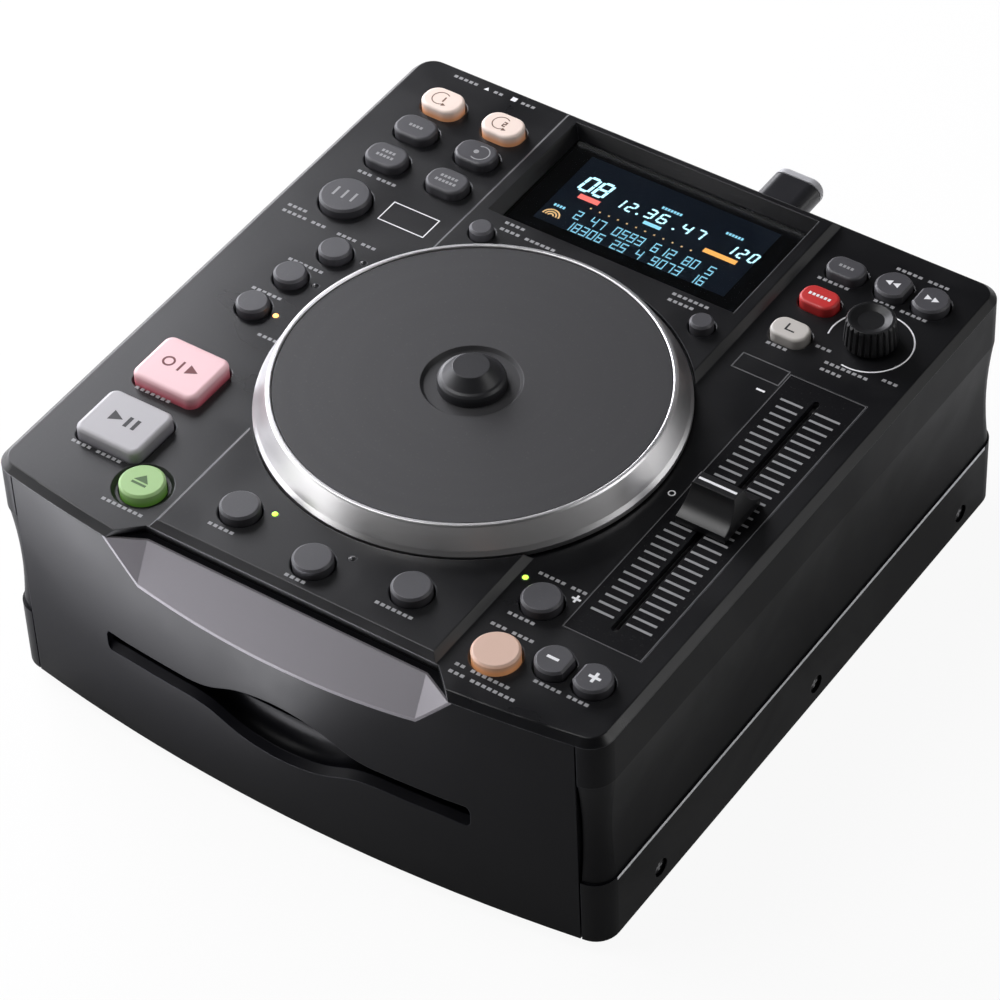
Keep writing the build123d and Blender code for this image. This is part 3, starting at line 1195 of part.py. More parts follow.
def usb_stick():
    """Memory stick whose plug is in the USB port."""
    y0 = BACK_Y + STICK_GAP
    plug = block(USB_X - PLUG_W / 2, USB_X + PLUG_W / 2, y0 - PLUG_L, y0 + STICK_BAND,
                 USB_Z - PLUG_H / 2, USB_Z + PLUG_H / 2)
    plane = Plane(origin=(USB_X, y0, USB_Z), x_dir=(1, 0, 0), z_dir=(0, 1, 0))
    body = extrude(plane * RectangleRounded(STICK_W, STICK_H, STICK_SIDE_R), STICK_L)
    body = fillet(body.edges().group_by(Axis.Y)[-1], STICK_END_R)
    groove = extrude(plane.offset(STICK_L - STICK_BAND) * Rectangle(STICK_W + 1, STICK_H + 1), STICK_GROOVE)
    core = RectangleRounded(STICK_W - 2 * STICK_GROOVE, STICK_H - 2 * STICK_GROOVE,
                            STICK_SIDE_R - STICK_GROOVE)
    groove -= extrude(plane.offset(STICK_L - STICK_BAND) * core, STICK_GROOVE)
    return plug + body - groove


def write(name, shape):
    """Check that a node holds solids and write its file."""
    solids = shape.solids()
    assert solids, name
    joined = solids[0] if len(solids) == 1 else Compound(children=list(solids))
    export_step(joined, f"parts/{name}.step")
    print(name, len(solids), "solids", round(sum(s.volume for s in solids)), "mm3")


def main():
    os.makedirs("parts", exist_ok=True)
    makers = (top_cover, front_panel, rear_panel, bottom_plate, name_plate, feet, case_screws,
              display_lens, display_module, jog_ring, jog_disc, jog_cap, jog_shaft, jog_bearing,
              fader_plate, fader_track, fader_cap, parameter_knob, knob_shaft, knob_encoder,
              key_board, main_board, indicator_lenses, loader_frame, feed_roller, spindle_hub,
              pickup_sled, power_key, ac_inlet, rear_connectors, usb_stick)
    for maker in makers:
        write(maker.__name__, maker())
    panel = right_side()
    write("side_panel_right", panel)
    write("side_panel_left", mirror(panel, Plane.YZ))
    for name in KEYS:
        write(name, key_solid(name))


main()
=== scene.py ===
# %% [markdown]
# # A tabletop disc player, finished for the camera
#
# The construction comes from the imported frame: every shell, key, wheel and jack stands where it was
# built, in metres. This lesson gives the player its surfaces: moulded grain, satin aluminium, lit keys,
# a display with its digits, printed marks, and a small studio to look at it in.
# The frame is loaded first, because every later place is read from it.

# %% Load the frame
from math import cos, pi, radians, sin

import bmesh
import bpy
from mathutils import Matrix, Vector


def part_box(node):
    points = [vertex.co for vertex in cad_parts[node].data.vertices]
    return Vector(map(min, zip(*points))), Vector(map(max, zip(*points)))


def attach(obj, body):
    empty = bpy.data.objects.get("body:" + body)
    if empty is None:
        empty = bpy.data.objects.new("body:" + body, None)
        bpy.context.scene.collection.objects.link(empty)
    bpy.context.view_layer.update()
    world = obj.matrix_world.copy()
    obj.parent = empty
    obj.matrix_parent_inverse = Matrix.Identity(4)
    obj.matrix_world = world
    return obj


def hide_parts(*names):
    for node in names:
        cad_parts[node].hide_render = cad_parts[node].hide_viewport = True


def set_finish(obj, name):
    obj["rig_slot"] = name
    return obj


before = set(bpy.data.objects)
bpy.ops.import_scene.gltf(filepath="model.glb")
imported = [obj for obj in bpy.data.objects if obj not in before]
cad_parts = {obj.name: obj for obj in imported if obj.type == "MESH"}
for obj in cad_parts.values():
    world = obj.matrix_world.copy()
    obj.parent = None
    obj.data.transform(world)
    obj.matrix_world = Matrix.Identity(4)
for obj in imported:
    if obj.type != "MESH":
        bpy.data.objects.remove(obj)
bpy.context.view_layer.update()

MM = 0.001

# %% [markdown]
# Places are read from the nodes' own boxes, so that a print or a symbol stays on its key when a size
# changes. A few levels are used all the time: the deck, the raised plate and the outer walls.

# %% Places that the frame gives
def mid(node):
    low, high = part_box(node)
    return (low + high) / 2


def top(node):
    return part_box(node)[1].z


PLATE_Z = top("top_cover")
DECK_Z = top("fader_plate")
HALF_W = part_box("side_panel_right")[1].x
FRONT_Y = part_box("front_panel")[0].y
BACK_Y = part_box("rear_panel")[1].y
JOG = mid("jog_ring")
FADER = mid("fader_plate")
KNOB = mid("parameter_knob")
LENS_LOW, LENS_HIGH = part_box("display_lens")
print("deck at", round(DECK_Z / MM, 1), "mm")

# %% [markdown]
# The camera stands to the right of the player's front and looks down on the deck. A long lens from a
# metre and a half keeps the far edge nearly as wide as the near one, as in a catalogue.

# %% Camera
CAMERA_PLACE = (0.58554, -0.80791, 1.01858)
CAMERA_TURN = (45.3086, 2.0020, 34.3367)
CAMERA_LENS = 161.49
SENSOR_WIDTH = 36

camera_data = bpy.data.cameras.new("camera")
camera_data.lens = CAMERA_LENS
camera_data.sensor_width = SENSOR_WIDTH
camera_data.dof.use_dof = False
camera = bpy.data.objects.new("camera", camera_data)
camera.location = CAMERA_PLACE
camera.rotation_euler = [radians(a) for a in CAMERA_TURN]
bpy.context.scene.collection.objects.link(camera)
bpy.context.scene.camera = camera
bpy.context.scene.view_settings.view_transform = "Standard"
print("camera", CAMERA_LENS, "mm lens")

# %% [markdown]
# Small helpers keep the material cells short. `add` puts a node in a tree and sets its sockets, and `join`
# links two sockets. `times` and `ramp` put a factor or a Map Range behind a socket, and `axes_of` takes a
# vector apart. `new_group` makes a shader node group with named inputs and outputs, and `new_material` a
# material, whose node tree and Principled shader `shader_of` finds again.

# %% Node helpers
def add(tree, kind, values=None, **settings):
    node = tree.nodes.new(kind)
    for name, value in settings.items():
        setattr(node, name, value)
    for name, value in (values or {}).items():
        node.inputs[name].default_value = value
    return node


def join(tree, source, output, target, entry):
    tree.links.new(source.outputs[output], target.inputs[entry])


def times(tree, source, output, factor):
    node = add(tree, "ShaderNodeMath", {1: factor}, operation="MULTIPLY")
    join(tree, source, output, node, 0)
    return node


def ramp(tree, source, output, low, high, start=0.0, end=1.0, **settings):
    """What runs from low to high at the source runs from start to end behind it."""
    ends = {"From Min": low, "From Max": high, "To Min": start, "To Max": end}
    node = add(tree, "ShaderNodeMapRange", ends, **settings)
    join(tree, source, output, node, "Value")
    return node


def axes_of(tree, kind, output):
    node = add(tree, "ShaderNodeSeparateXYZ")
    join(tree, add(tree, kind), output, node, "Vector")
    return node


def new_group(name, inputs, outputs):
    tree = bpy.data.node_groups.new(name, "ShaderNodeTree")
    for label, kind, value in inputs:
        socket = tree.interface.new_socket(label, in_out="INPUT", socket_type="NodeSocket" + kind)
        socket.default_value = value
    for label, kind in outputs:
        tree.interface.new_socket(label, in_out="OUTPUT", socket_type="NodeSocket" + kind)
    return tree, add(tree, "NodeGroupInput"), add(tree, "NodeGroupOutput")


def shader_of(material):
    tree = material.node_tree
    return tree, tree.nodes["Principled BSDF"]


def new_material(name):
    material = bpy.data.materials.new(name)
    material.use_nodes = True
    return material, *shader_of(material)


def place_group(tree, group, values=None):
    node = add(tree, "ShaderNodeGroup", node_tree=group)
    for name, value in (values or {}).items():
        node.inputs[name].default_value = value
    return node


# %% [markdown]
# Moulded plastic has a grain: the steel mould is spark-eroded, and its pits are a tenth to half a
# millimetre wide. One noise gives the pits and a second, larger one makes them uneven. The group puts out
# a height, and each material decides how deep it is.

# %% Group: moulded grain
WAVE_SCALE = 0.21
WAVE_SHARE = 0.4


def make_grain():
    tree, enter, leave = new_group("moulded_grain", [("Size", "Float", 0.0003)], [("Height", "Float")])
    place = add(tree, "ShaderNodeTexCoord")
    scale = add(tree, "ShaderNodeMath", {0: 1.0}, operation="DIVIDE")
    join(tree, enter, "Size", scale, 1)
    pits = add(tree, "ShaderNodeTexNoise", {"Detail": 2.0, "Roughness": 0.6})
    join(tree, place, "Object", pits, "Vector")
    join(tree, scale, 0, pits, "Scale")
    coarse = times(tree, scale, 0, WAVE_SCALE)
    waves = add(tree, "ShaderNodeTexNoise", {"Detail": 1.0})
    join(tree, place, "Object", waves, "Vector")
    join(tree, coarse, 0, waves, "Scale")
    blend = times(tree, waves, "Fac", WAVE_SHARE)
    total = add(tree, "ShaderNodeMath", operation="ADD")
    join(tree, pits, "Fac", total, 0)
    join(tree, blend, 0, total, 1)
    join(tree, total, 0, leave, "Height")
    return tree


GRAIN = make_grain()
print("group", GRAIN.name)

# %% [markdown]
# No moulded or turned edge is sharp. A Bevel node looks round each shading point and returns the normal
# of a small radius, so every edge of the frame catches a thin line of light. Where that normal leaves
# the true one, there is an edge: the same group puts out a mask for it, and the finishes lighten their
# edges there, partly as wear and partly as a painted highlight.

# %% Group: soft edges
EDGE_WEAR_AND_HIGHLIGHT_FROM = 0.999
EDGE_WEAR_AND_HIGHLIGHT_FULLY = 0.90


def make_edges():
    tree, enter, leave = new_group("soft_edges", [("Radius", "Float", 0.0004)],
                                   [("Normal", "Vector"), ("Wear and highlight", "Float")])
    bevel = add(tree, "ShaderNodeBevel", samples=4)
    join(tree, enter, "Radius", bevel, "Radius")
    shape = add(tree, "ShaderNodeNewGeometry")
    facing = add(tree, "ShaderNodeVectorMath", operation="DOT_PRODUCT")
    join(tree, bevel, "Normal", facing, 0)
    join(tree, shape, "Normal", facing, 1)
    # mask of the edges, which the finishes lighten as wear and as a painted highlight
    edge_wear_and_highlight = ramp(tree, facing, "Value", EDGE_WEAR_AND_HIGHLIGHT_FROM, EDGE_WEAR_AND_HIGHLIGHT_FULLY)
    join(tree, bevel, "Normal", leave, "Normal")
    join(tree, edge_wear_and_highlight, "Result", leave, "Wear and highlight")
    return tree


EDGES = make_edges()
print("group", EDGES.name)

# %% [markdown]
# A player is handled: fingers leave soft, greasy patches that change the gloss more than the colour, and
# a little dust settles on what faces up. Both are masks from slow and fast noises.

# %% Group: handling
PATCH_SCALE = 26.0
SPECK_SCALE = 1400.0


def make_handling():
    tree, _, leave = new_group("handling", [], [("Smudge", "Float"), ("Dust", "Float")])
    place = add(tree, "ShaderNodeTexCoord")
    patches = add(tree, "ShaderNodeTexNoise", {"Scale": PATCH_SCALE, "Detail": 4.0, "Distortion": 0.6})
    join(tree, place, "Object", patches, "Vector")
    smudge = ramp(tree, patches, "Fac", 0.38, 0.68)
    specks = add(tree, "ShaderNodeTexNoise", {"Scale": SPECK_SCALE, "Detail": 1.0})
    join(tree, place, "Object", specks, "Vector")
    sparse = ramp(tree, specks, "Fac", 0.66, 0.78)
    upward = ramp(tree, axes_of(tree, "ShaderNodeNewGeometry", "Normal"), "Z", 0.6, 1.0)
    dust = add(tree, "ShaderNodeMath", operation="MULTIPLY")
    join(tree, sparse, "Result", dust, 0)
    join(tree, upward, "Result", dust, 1)
    join(tree, smudge, "Result", leave, "Smudge")
    join(tree, dust, 0, leave, "Dust")
    return tree


HANDLING = make_handling()
print("group", HANDLING.name)

# %% [markdown]
# The wheel's ring and disc are turned on a lathe, which leaves fine circles about the axis. Noise that
# only reads the radius gives those circles: bright and dull, high and low.

# %% Group: turned circles
BAND_SCALE = 0.07


def make_turned():
    tree, enter, leave = new_group("turned_circles",
                                   [("Axis", "Vector", (0, 0, 0)), ("Pitch", "Float", 0.0002)],
                                   [("Height", "Float"), ("Band", "Float")])
    place = add(tree, "ShaderNodeTexCoord")
    away = add(tree, "ShaderNodeVectorMath", operation="SUBTRACT")
    join(tree, place, "Object", away, 0)
    join(tree, enter, "Axis", away, 1)
    flat = add(tree, "ShaderNodeVectorMath", {1: (1, 1, 0)}, operation="MULTIPLY")
    join(tree, away, 0, flat, 0)
    radius = add(tree, "ShaderNodeVectorMath", operation="LENGTH")
    join(tree, flat, 0, radius, 0)
    steps = add(tree, "ShaderNodeMath", operation="DIVIDE")
    join(tree, radius, "Value", steps, 0)
    join(tree, enter, "Pitch", steps, 1)
    cuts = add(tree, "ShaderNodeTexNoise", {"Scale": 1.0, "Detail": 2.0}, noise_dimensions="1D")
    join(tree, steps, 0, cuts, "W")
    slow = times(tree, steps, 0, BAND_SCALE)
    bands = add(tree, "ShaderNodeTexNoise", {"Scale": 1.0}, noise_dimensions="1D")
    join(tree, slow, 0, bands, "W")
    join(tree, cuts, "Fac", leave, "Height")
    join(tree, bands, "Fac", leave, "Band")
    return tree


TURNED = make_turned()
print("group", TURNED.name)

# %% [markdown]
# One maker builds every moulded or metal finish from those groups: the Principled shader stays in the
# material with its constants on its own sockets, and the groups only change colour, roughness, height
# and normal over the surface.

# %% The finish maker
DUST_COLOUR = (0.32, 0.31, 0.29, 1.0)
WEAR_AND_HIGHLIGHT_GAIN = 2.2


def shade(colour, factor):
    return tuple(min(1.0, c * factor) for c in colour) + (1.0,)


def finish(name, colour, roughness, metallic=0.0, grain=0.0003, depth=0.000004, radius=0.0004,
           wear_and_highlight=0.25, smudge=0.06, dust=0.05, specular=0.5):
    """A material with grain, soft edges lightened as wear and as a painted highlight, and handling marks.
    Sizes are in metres.
    """
    material, tree, shader = new_material(name)
    material.diffuse_color = (*colour, 1.0)
    shader.inputs["Metallic"].default_value = metallic
    shader.inputs["Specular IOR Level"].default_value = specular
    edges = place_group(tree, EDGES, {"Radius": radius})
    marks = place_group(tree, HANDLING)
    pits = place_group(tree, GRAIN, {"Size": grain})

    # edges are lightened in the base colour: wear, and on the deck and case blacks mostly a painted
    # highlight
    edge_wear_and_highlight = add(tree, "ShaderNodeMix", data_type="RGBA")
    edge_wear_and_highlight.inputs["A"].default_value = (*colour, 1.0)
    edge_wear_and_highlight.inputs["B"].default_value = shade(colour, 1.0 + WEAR_AND_HIGHLIGHT_GAIN * wear_and_highlight)
    join(tree, edges, "Wear and highlight", edge_wear_and_highlight, "Factor")
    dusty = add(tree, "ShaderNodeMix", data_type="RGBA")
    dusty.inputs["B"].default_value = DUST_COLOUR
    join(tree, times(tree, marks, "Dust", dust), 0, dusty, "Factor")
    tree.links.new(edge_wear_and_highlight.outputs["Result"], dusty.inputs["A"])
    tree.links.new(dusty.outputs["Result"], shader.inputs["Base Color"])

    gloss = ramp(tree, marks, "Smudge", 0.0, 1.0, roughness + smudge, roughness - smudge)
    join(tree, gloss, "Result", shader, "Roughness")

    bump = add(tree, "ShaderNodeBump", {"Strength": 1.0, "Distance": depth})
    join(tree, pits, "Height", bump, "Height")
    join(tree, edges, "Normal", bump, "Normal")
    join(tree, bump, "Normal", shader, "Normal")
    return material


print("finish maker ready")

# %% [markdown]
# The case is black, but not one black. The deck is satin with a fine grain, the flanks and the bowed
# front mirror much less, and the rear and the base are painted steel. The deck and case blacks have
# pale edges, partly wear and partly a painted highlight. A low specular level keeps a plastic deep
# black where bright surroundings stand against it.

# %% Case and mechanism finishes
# the deck and case blacks lighten their edges strongly: a painted highlight more than wear
DECK_BLACK = finish("deck_black", (0.0033, 0.0033, 0.0044), 0.33, grain=0.00022, depth=0.0000022,
                    dust=0.02, wear_and_highlight=1.6)
CASE_BLACK = finish("case_black", (0.0025, 0.0025, 0.0034), 0.34, depth=0.0000018, dust=0.02,
                    wear_and_highlight=1.6, specular=0.07)
REAR_BLACK = finish("rear_black", (0.012, 0.012, 0.013), 0.5, grain=0.0005, depth=0.000012, specular=0.3)
BASE_STEEL = finish("base_steel", (0.02, 0.02, 0.022), 0.45, grain=0.0004, depth=0.000006, specular=0.3)
PLATE_SILVER = finish("plate_silver", (0.125, 0.118, 0.127), 0.5, metallic=0.1, grain=0.00012,
                      depth=0.000002, radius=0.0002, wear_and_highlight=0.3, specular=0.15)
FOOT_RUBBER = finish("foot_rubber", (0.018, 0.018, 0.018), 0.8, grain=0.0004, depth=0.00001, wear_and_highlight=0.1)
SCREW_BLACK = finish("screw_black", (0.03, 0.03, 0.033), 0.3, metallic=0.9, radius=0.0002, wear_and_highlight=0.8)
CAP_GREY = finish("cap_grey", (0.020, 0.020, 0.023), 0.34, grain=0.0002, depth=0.000002)
KNOB_BLACK = finish("knob_black", (0.007, 0.007, 0.008), 0.34, grain=0.00016, depth=0.000003,
                    radius=0.0003)
FADER_BLACK = finish("fader_black", (0.006, 0.006, 0.007), 0.30, grain=0.0002, depth=0.000002)
FADER_TEXTURE = finish("fader_texture", (0.004, 0.004, 0.005), 0.42, grain=0.00045, depth=0.00005,
                       radius=0.0002, specular=0.12)
SHAFT_STEEL = finish("shaft_steel", (0.55, 0.55, 0.56), 0.25, metallic=1.0, depth=0.000001)
TRACK_STEEL = finish("track_steel", (0.45, 0.45, 0.46), 0.35, metallic=1.0, depth=0.000002)
BEARING_BRASS = finish("bearing_brass", (0.72, 0.53, 0.25), 0.3, metallic=1.0, depth=0.000002)
BOARD_GREEN = finish("board_green", (0.03, 0.12, 0.05), 0.4, grain=0.0004, depth=0.000004)
LOADER_STEEL = finish("loader_steel", (0.42, 0.43, 0.45), 0.4, metallic=1.0, grain=0.0012,
                      depth=0.000004)
ROLLER_RUBBER = finish("roller_rubber", (0.05, 0.05, 0.052), 0.75, grain=0.0004, depth=0.00001)
MECHANISM_BLACK = finish("mechanism_black", (0.02, 0.02, 0.022), 0.45)
INLET_BLACK = finish("inlet_black", (0.015, 0.015, 0.016), 0.4)
CONNECTOR_NICKEL = finish("connector_nickel", (0.62, 0.6, 0.56), 0.22, metallic=1.0, depth=0.000001)
INDICATOR_CLEAR = finish("indicator_clear", (0.06, 0.06, 0.065), 0.25)
DISPLAY_GLASS = finish("display_glass", (0.002, 0.0025, 0.004), 0.2, dust=0.0, specular=0.2)
print("case finishes made")

# %% [markdown]
# The memory stick is lacquered black and ends in a bright metal sleeve. Its shell is one node, so the
# material tells the two apart by the place along the stick.

# %% Memory stick finish
SLEEVE_LENGTH = 4.0 * MM
SLEEVE_EDGE = 0.2 * MM
SLEEVE_STEEL = (0.45, 0.45, 0.47, 1.0)


def stick_finish(band_y):
    """The memory stick's shell: black lacquer, with a bright sleeve from band_y to its end."""
    material = finish("stick_lacquer", (0.02, 0.02, 0.023), 0.26, depth=0.000001)
    tree, shader = shader_of(material)
    axes = axes_of(tree, "ShaderNodeTexCoord", "Object")
    sleeve = ramp(tree, axes, "Y", band_y, band_y + SLEEVE_EDGE)
    colour = add(tree, "ShaderNodeMix", data_type="RGBA")
    tree.links.new(shader.inputs["Base Color"].links[0].from_socket, colour.inputs["A"])
    colour.inputs["B"].default_value = SLEEVE_STEEL
    join(tree, sleeve, "Result", colour, "Factor")
    tree.links.new(colour.outputs["Result"], shader.inputs["Base Color"])
    return material


STICK_LACQUER = stick_finish(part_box("usb_stick")[1].y - SLEEVE_LENGTH)
print("memory stick finish made")

# %% [markdown]
# The wheel's ring is satin aluminium. Its colour is nearly white, its roughness is middling, and fine
# turned circles break the reflection up round the axis. The disc has the same circles, cut shallow in a
# dark anodised face.

# %% Turned finishes
def turned_finish(name, colour, roughness, metallic, depth, pitch, spread):
    """A finish with circles about the wheel's axis on top of soft edges."""
    material = finish(name, colour, roughness, metallic, depth=0.000001, radius=0.0003, wear_and_highlight=0.1)
    tree, shader = shader_of(material)
    circles = place_group(tree, TURNED, {"Axis": tuple(JOG), "Pitch": pitch})
    last = shader.inputs["Normal"].links[0].from_node
    bump = add(tree, "ShaderNodeBump", {"Strength": 1.0, "Distance": depth})
    join(tree, circles, "Height", bump, "Height")
    join(tree, last, "Normal", bump, "Normal")
    join(tree, bump, "Normal", shader, "Normal")
    gloss = ramp(tree, circles, "Band", 0.0, 1.0, roughness - spread, roughness + spread)
    join(tree, gloss, "Result", shader, "Roughness")
    return material


RING_ALUMINIUM = turned_finish("ring_aluminium", (0.80, 0.79, 0.80), 0.34, metallic=1.0,
                               depth=0.0000025, pitch=0.00022, spread=0.05)
DISC_GREY = turned_finish("disc_grey", (0.024, 0.0235, 0.026), 0.56, metallic=0.0,
                          depth=0.000006, pitch=0.0005, spread=0.06)
print("turned finishes made")

# %% [markdown]
# Key caps are dyed plastic, and some are lit from below. A lit cap is milky: its face is pale, and its
# skirt glows in the lamp's own colour, because the light enters at the foot. A blend over the height
# gives that, in the colour and in a faint emission.

# %% Key finishes
KEY_GREY = finish("key_grey", (0.060, 0.059, 0.066), 0.42, grain=0.0002, depth=0.000003, wear_and_highlight=0.5)
KEY_RED = finish("key_red", (0.55, 0.035, 0.035), 0.34, grain=0.0002, depth=0.000002, wear_and_highlight=0.2)
KEY_CREAM = finish("key_cream", (0.56, 0.53, 0.50), 0.4, grain=0.0002, depth=0.000002, wear_and_highlight=0.1)
KEY_FOOT = DECK_Z + 0.2 * MM
LIT_ROUGHNESS = 0.35


def lit_finish(name, face, skirt, rise, glow, skirt_glow, foot_z=KEY_FOOT):
    """A milky cap: the lamp's colour at the foot, the face colour from rise upwards, glowing a little."""
    material = finish(name, face, LIT_ROUGHNESS, grain=0.0002, depth=0.0000015, wear_and_highlight=0.0, dust=0.0)
    tree, shader = shader_of(material)
    axes = axes_of(tree, "ShaderNodeTexCoord", "Object")
    height = ramp(tree, axes, "Z", foot_z, foot_z + rise)
    for socket, low, high in (("Base Color", 1.0, 1.0), ("Emission Color", skirt_glow, glow)):
        blend = add(tree, "ShaderNodeMix", data_type="RGBA")
        blend.inputs["A"].default_value = shade(skirt, low)
        blend.inputs["B"].default_value = shade(face, high)
        join(tree, height, "Result", blend, "Factor")
        tree.links.new(blend.outputs["Result"], shader.inputs[socket])
    shader.inputs["Emission Strength"].default_value = 1.0
    return material


KEY_LIT = lit_finish("key_lit", (0.82, 0.68, 0.61), (0.78, 0.36, 0.18), rise=2.4 * MM,
                     glow=0.10, skirt_glow=0.18)
KEY_PEACH = lit_finish("key_peach", (0.64, 0.45, 0.37), (0.80, 0.36, 0.16), rise=2.8 * MM,
                       glow=0.10, skirt_glow=0.25)
KEY_PINK = lit_finish("key_pink", (0.78, 0.52, 0.55), (0.58, 0.13, 0.17), rise=4.0 * MM,
                      glow=0.10, skirt_glow=0.12)
# the play key does not glow: its colour only runs darker towards its foot
KEY_WHITE = lit_finish("key_white", (0.43, 0.42, 0.44), (0.30, 0.29, 0.32), rise=4.0 * MM,
                       glow=0.0, skirt_glow=0.0)
KEY_GREEN = lit_finish("key_green", (0.30, 0.48, 0.20), (0.12, 0.30, 0.04), rise=3.5 * MM,
                       glow=0.12, skirt_glow=0.2, foot_z=DECK_Z - 1.5 * MM)
print("key finishes made")

# %% [markdown]
# Marks on the deck are screen-printed, about three hundredths of a millimetre thick. Flat shapes are
# drawn as outlines in plan and raised by that much, so every print is a closed sheet that lies on its
# surface. The helpers below give the outlines: bars, arrow heads, rings and a plus. `mm` turns sizes in
# millimetres into metres.

# %% Outlines in plan
PRINT_T = 0.03 * MM


def mm(*sizes):
    return [size * MM for size in sizes]


def bar(x, y, w, h):
    left, right = x - w / 2, x + w / 2
    low, high = y - h / 2, y + h / 2
    return [(left, low), (right, low), (right, high), (left, high)]


def arrow(x, y, w, h):
    return [(x - w / 2, y - h / 2), (x + w / 2, y), (x - w / 2, y + h / 2)]


def arrow_back(x, y, w, h):
    return [(x + w / 2, y + h / 2), (x - w / 2, y), (x + w / 2, y - h / 2)]


def arrow_up(x, y, w, h):
    return [(x - w / 2, y - h / 2), (x + w / 2, y - h / 2), (x, y + h / 2)]


def plus(x, y, size, stroke):
    a, b = size / 2, stroke / 2
    return [(x + p, y + q) for p, q in ((-a, -b), (-b, -b), (-b, -a), (b, -a), (b, -b), (a, -b), (a, b),
                                        (b, b), (b, a), (-b, a), (-b, b), (-a, b))]


def band(x, y, radius, stroke, start, end, steps=24):
    """A curved stroke between two angles in degrees."""
    angles = [radians(start + (end - start) * i / steps) for i in range(steps + 1)]
    wide, narrow = radius + stroke / 2, radius - stroke / 2
    outer = [(x + wide * cos(a), y + wide * sin(a)) for a in angles]
    inner = [(x + narrow * cos(a), y + narrow * sin(a)) for a in angles]
    return outer + inner[::-1]


def ring(x, y, radius, stroke):
    return [band(x, y, radius, stroke, 0, 180), band(x, y, radius, stroke, 180, 360)]


def dot(x, y, radius, steps=20):
    return [(x + radius * cos(2 * pi * i / steps), y + radius * sin(2 * pi * i / steps))
            for i in range(steps)]


def box_frame(x, y, w, h, stroke):
    """Four bars round a rectangle."""
    return [bar(x, y + h / 2 - stroke / 2, w, stroke), bar(x, y - h / 2 + stroke / 2, w, stroke),
            bar(x - w / 2 + stroke / 2, y, stroke, h - 2 * stroke),
            bar(x + w / 2 - stroke / 2, y, stroke, h - 2 * stroke)]


print("outlines ready")

# %% [markdown]
# `closed_sheets` turns outlines into one mesh: each outline is the foot of a closed sheet, and `rise`
# moves it to the sheet's face. Making the walls by hand in bmesh keeps the face whole, with no stray
# triangles. `sheet_piece` does this for prints that lie flat, and sends the piece riding on a body.

# %% From outlines to pieces
def link(name, mesh, material, body, slot):
    """A new piece on a body, with its material and the slot it takes its finish from."""
    mesh.materials.append(material)
    piece = bpy.data.objects.new(name, mesh)
    bpy.context.scene.collection.objects.link(piece)
    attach(piece, body)
    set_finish(piece, slot)
    return piece


def closed_sheets(name, outlines, rise):
    """One mesh of closed sheets, from outlines in space and the step from foot to face."""
    mesh = bpy.data.meshes.new(name)
    form = bmesh.new()
    for outline in outlines:
        low = [form.verts.new(point) for point in outline]
        high = [form.verts.new([a + b for a, b in zip(point, rise)]) for point in outline]
        form.faces.new(low[::-1])
        form.faces.new(high)
        for i in range(len(outline)):
            j = (i + 1) % len(outline)
            form.faces.new((low[i], low[j], high[j], high[i]))
    bmesh.ops.recalc_face_normals(form, faces=form.faces)
    form.to_mesh(mesh)
    form.free()
    return mesh


def sheet_piece(name, outlines, z, material, body, slot, thickness=PRINT_T):
    """A print that lies flat at height z: its outlines are in plan."""
    places = [[(x, y, z) for x, y in outline] for outline in outlines]
    return link(name, closed_sheets(name, places, (0, 0, thickness)), material, body, slot)


def ink(name, colour, roughness=0.5):
    """Printing ink: a colour that the screen's mesh leaves slightly uneven."""
    return finish(name, colour, roughness, grain=0.00025, depth=0.000003, radius=0.00002, wear_and_highlight=0.0,
                  dust=0.02)


# white ink for prints, also used for the painted highlight along each flank's ledge
WHITE_INK_AND_HIGHLIGHT = ink("white_ink_and_highlight", (0.84, 0.84, 0.86))
INK_GREY = ink("ink_grey", (0.30, 0.30, 0.31))
INK_FAINT = ink("ink_faint", (0.10, 0.10, 0.105))
INK_BLACK = ink("ink_black", (0.012, 0.012, 0.014))
INK_DARK_RED = ink("ink_dark_red", (0.14, 0.022, 0.026))
INK_DARK_GREEN = ink("ink_dark_green", (0.05, 0.12, 0.03))
INK_BROWN = ink("ink_brown", (0.16, 0.08, 0.05))
print("prints ready")

# %% [markdown]
# Every node of the frame now gets its finish. A dictionary from node to material is easier to read and
# to change than sixty lines, and keys without an entry are the grey ones.

# %% Paint the frame's nodes
FINISHES = {
    "top_cover": DECK_BLACK, "front_panel": CASE_BLACK, "side_panel_left": CASE_BLACK,
    "side_panel_right": CASE_BLACK, "rear_panel": REAR_BLACK, "bottom_plate": BASE_STEEL,
    "name_plate": PLATE_SILVER, "feet": FOOT_RUBBER, "case_screws": SCREW_BLACK,
    "display_lens": DISPLAY_GLASS, "display_module": DISPLAY_GLASS, "jog_ring": RING_ALUMINIUM,
    "jog_disc": DISC_GREY, "jog_cap": CAP_GREY, "jog_shaft": SHAFT_STEEL, "jog_bearing": BEARING_BRASS,
    "fader_plate": FADER_TEXTURE, "fader_track": TRACK_STEEL, "fader_cap": FADER_BLACK,
    "parameter_knob": KNOB_BLACK, "knob_shaft": SHAFT_STEEL, "knob_encoder": MECHANISM_BLACK,
    "key_board": BOARD_GREEN, "main_board": BOARD_GREEN, "indicator_lenses": INDICATOR_CLEAR,
    "loader_frame": LOADER_STEEL, "feed_roller": ROLLER_RUBBER, "spindle_hub": MECHANISM_BLACK,
    "pickup_sled": MECHANISM_BLACK, "power_key": KEY_GREY, "ac_inlet": INLET_BLACK,
    "rear_connectors": CONNECTOR_NICKEL, "usb_stick": STICK_LACQUER, "loop_in_a1_key": KEY_LIT,
    "loop_in_a2_key": KEY_LIT, "jog_mode_key": KEY_PEACH, "cue_key": KEY_PINK,
    "play_pause_key": KEY_WHITE, "eject_key": KEY_GREEN, "source_key": KEY_RED, "back_key": KEY_CREAM,
}


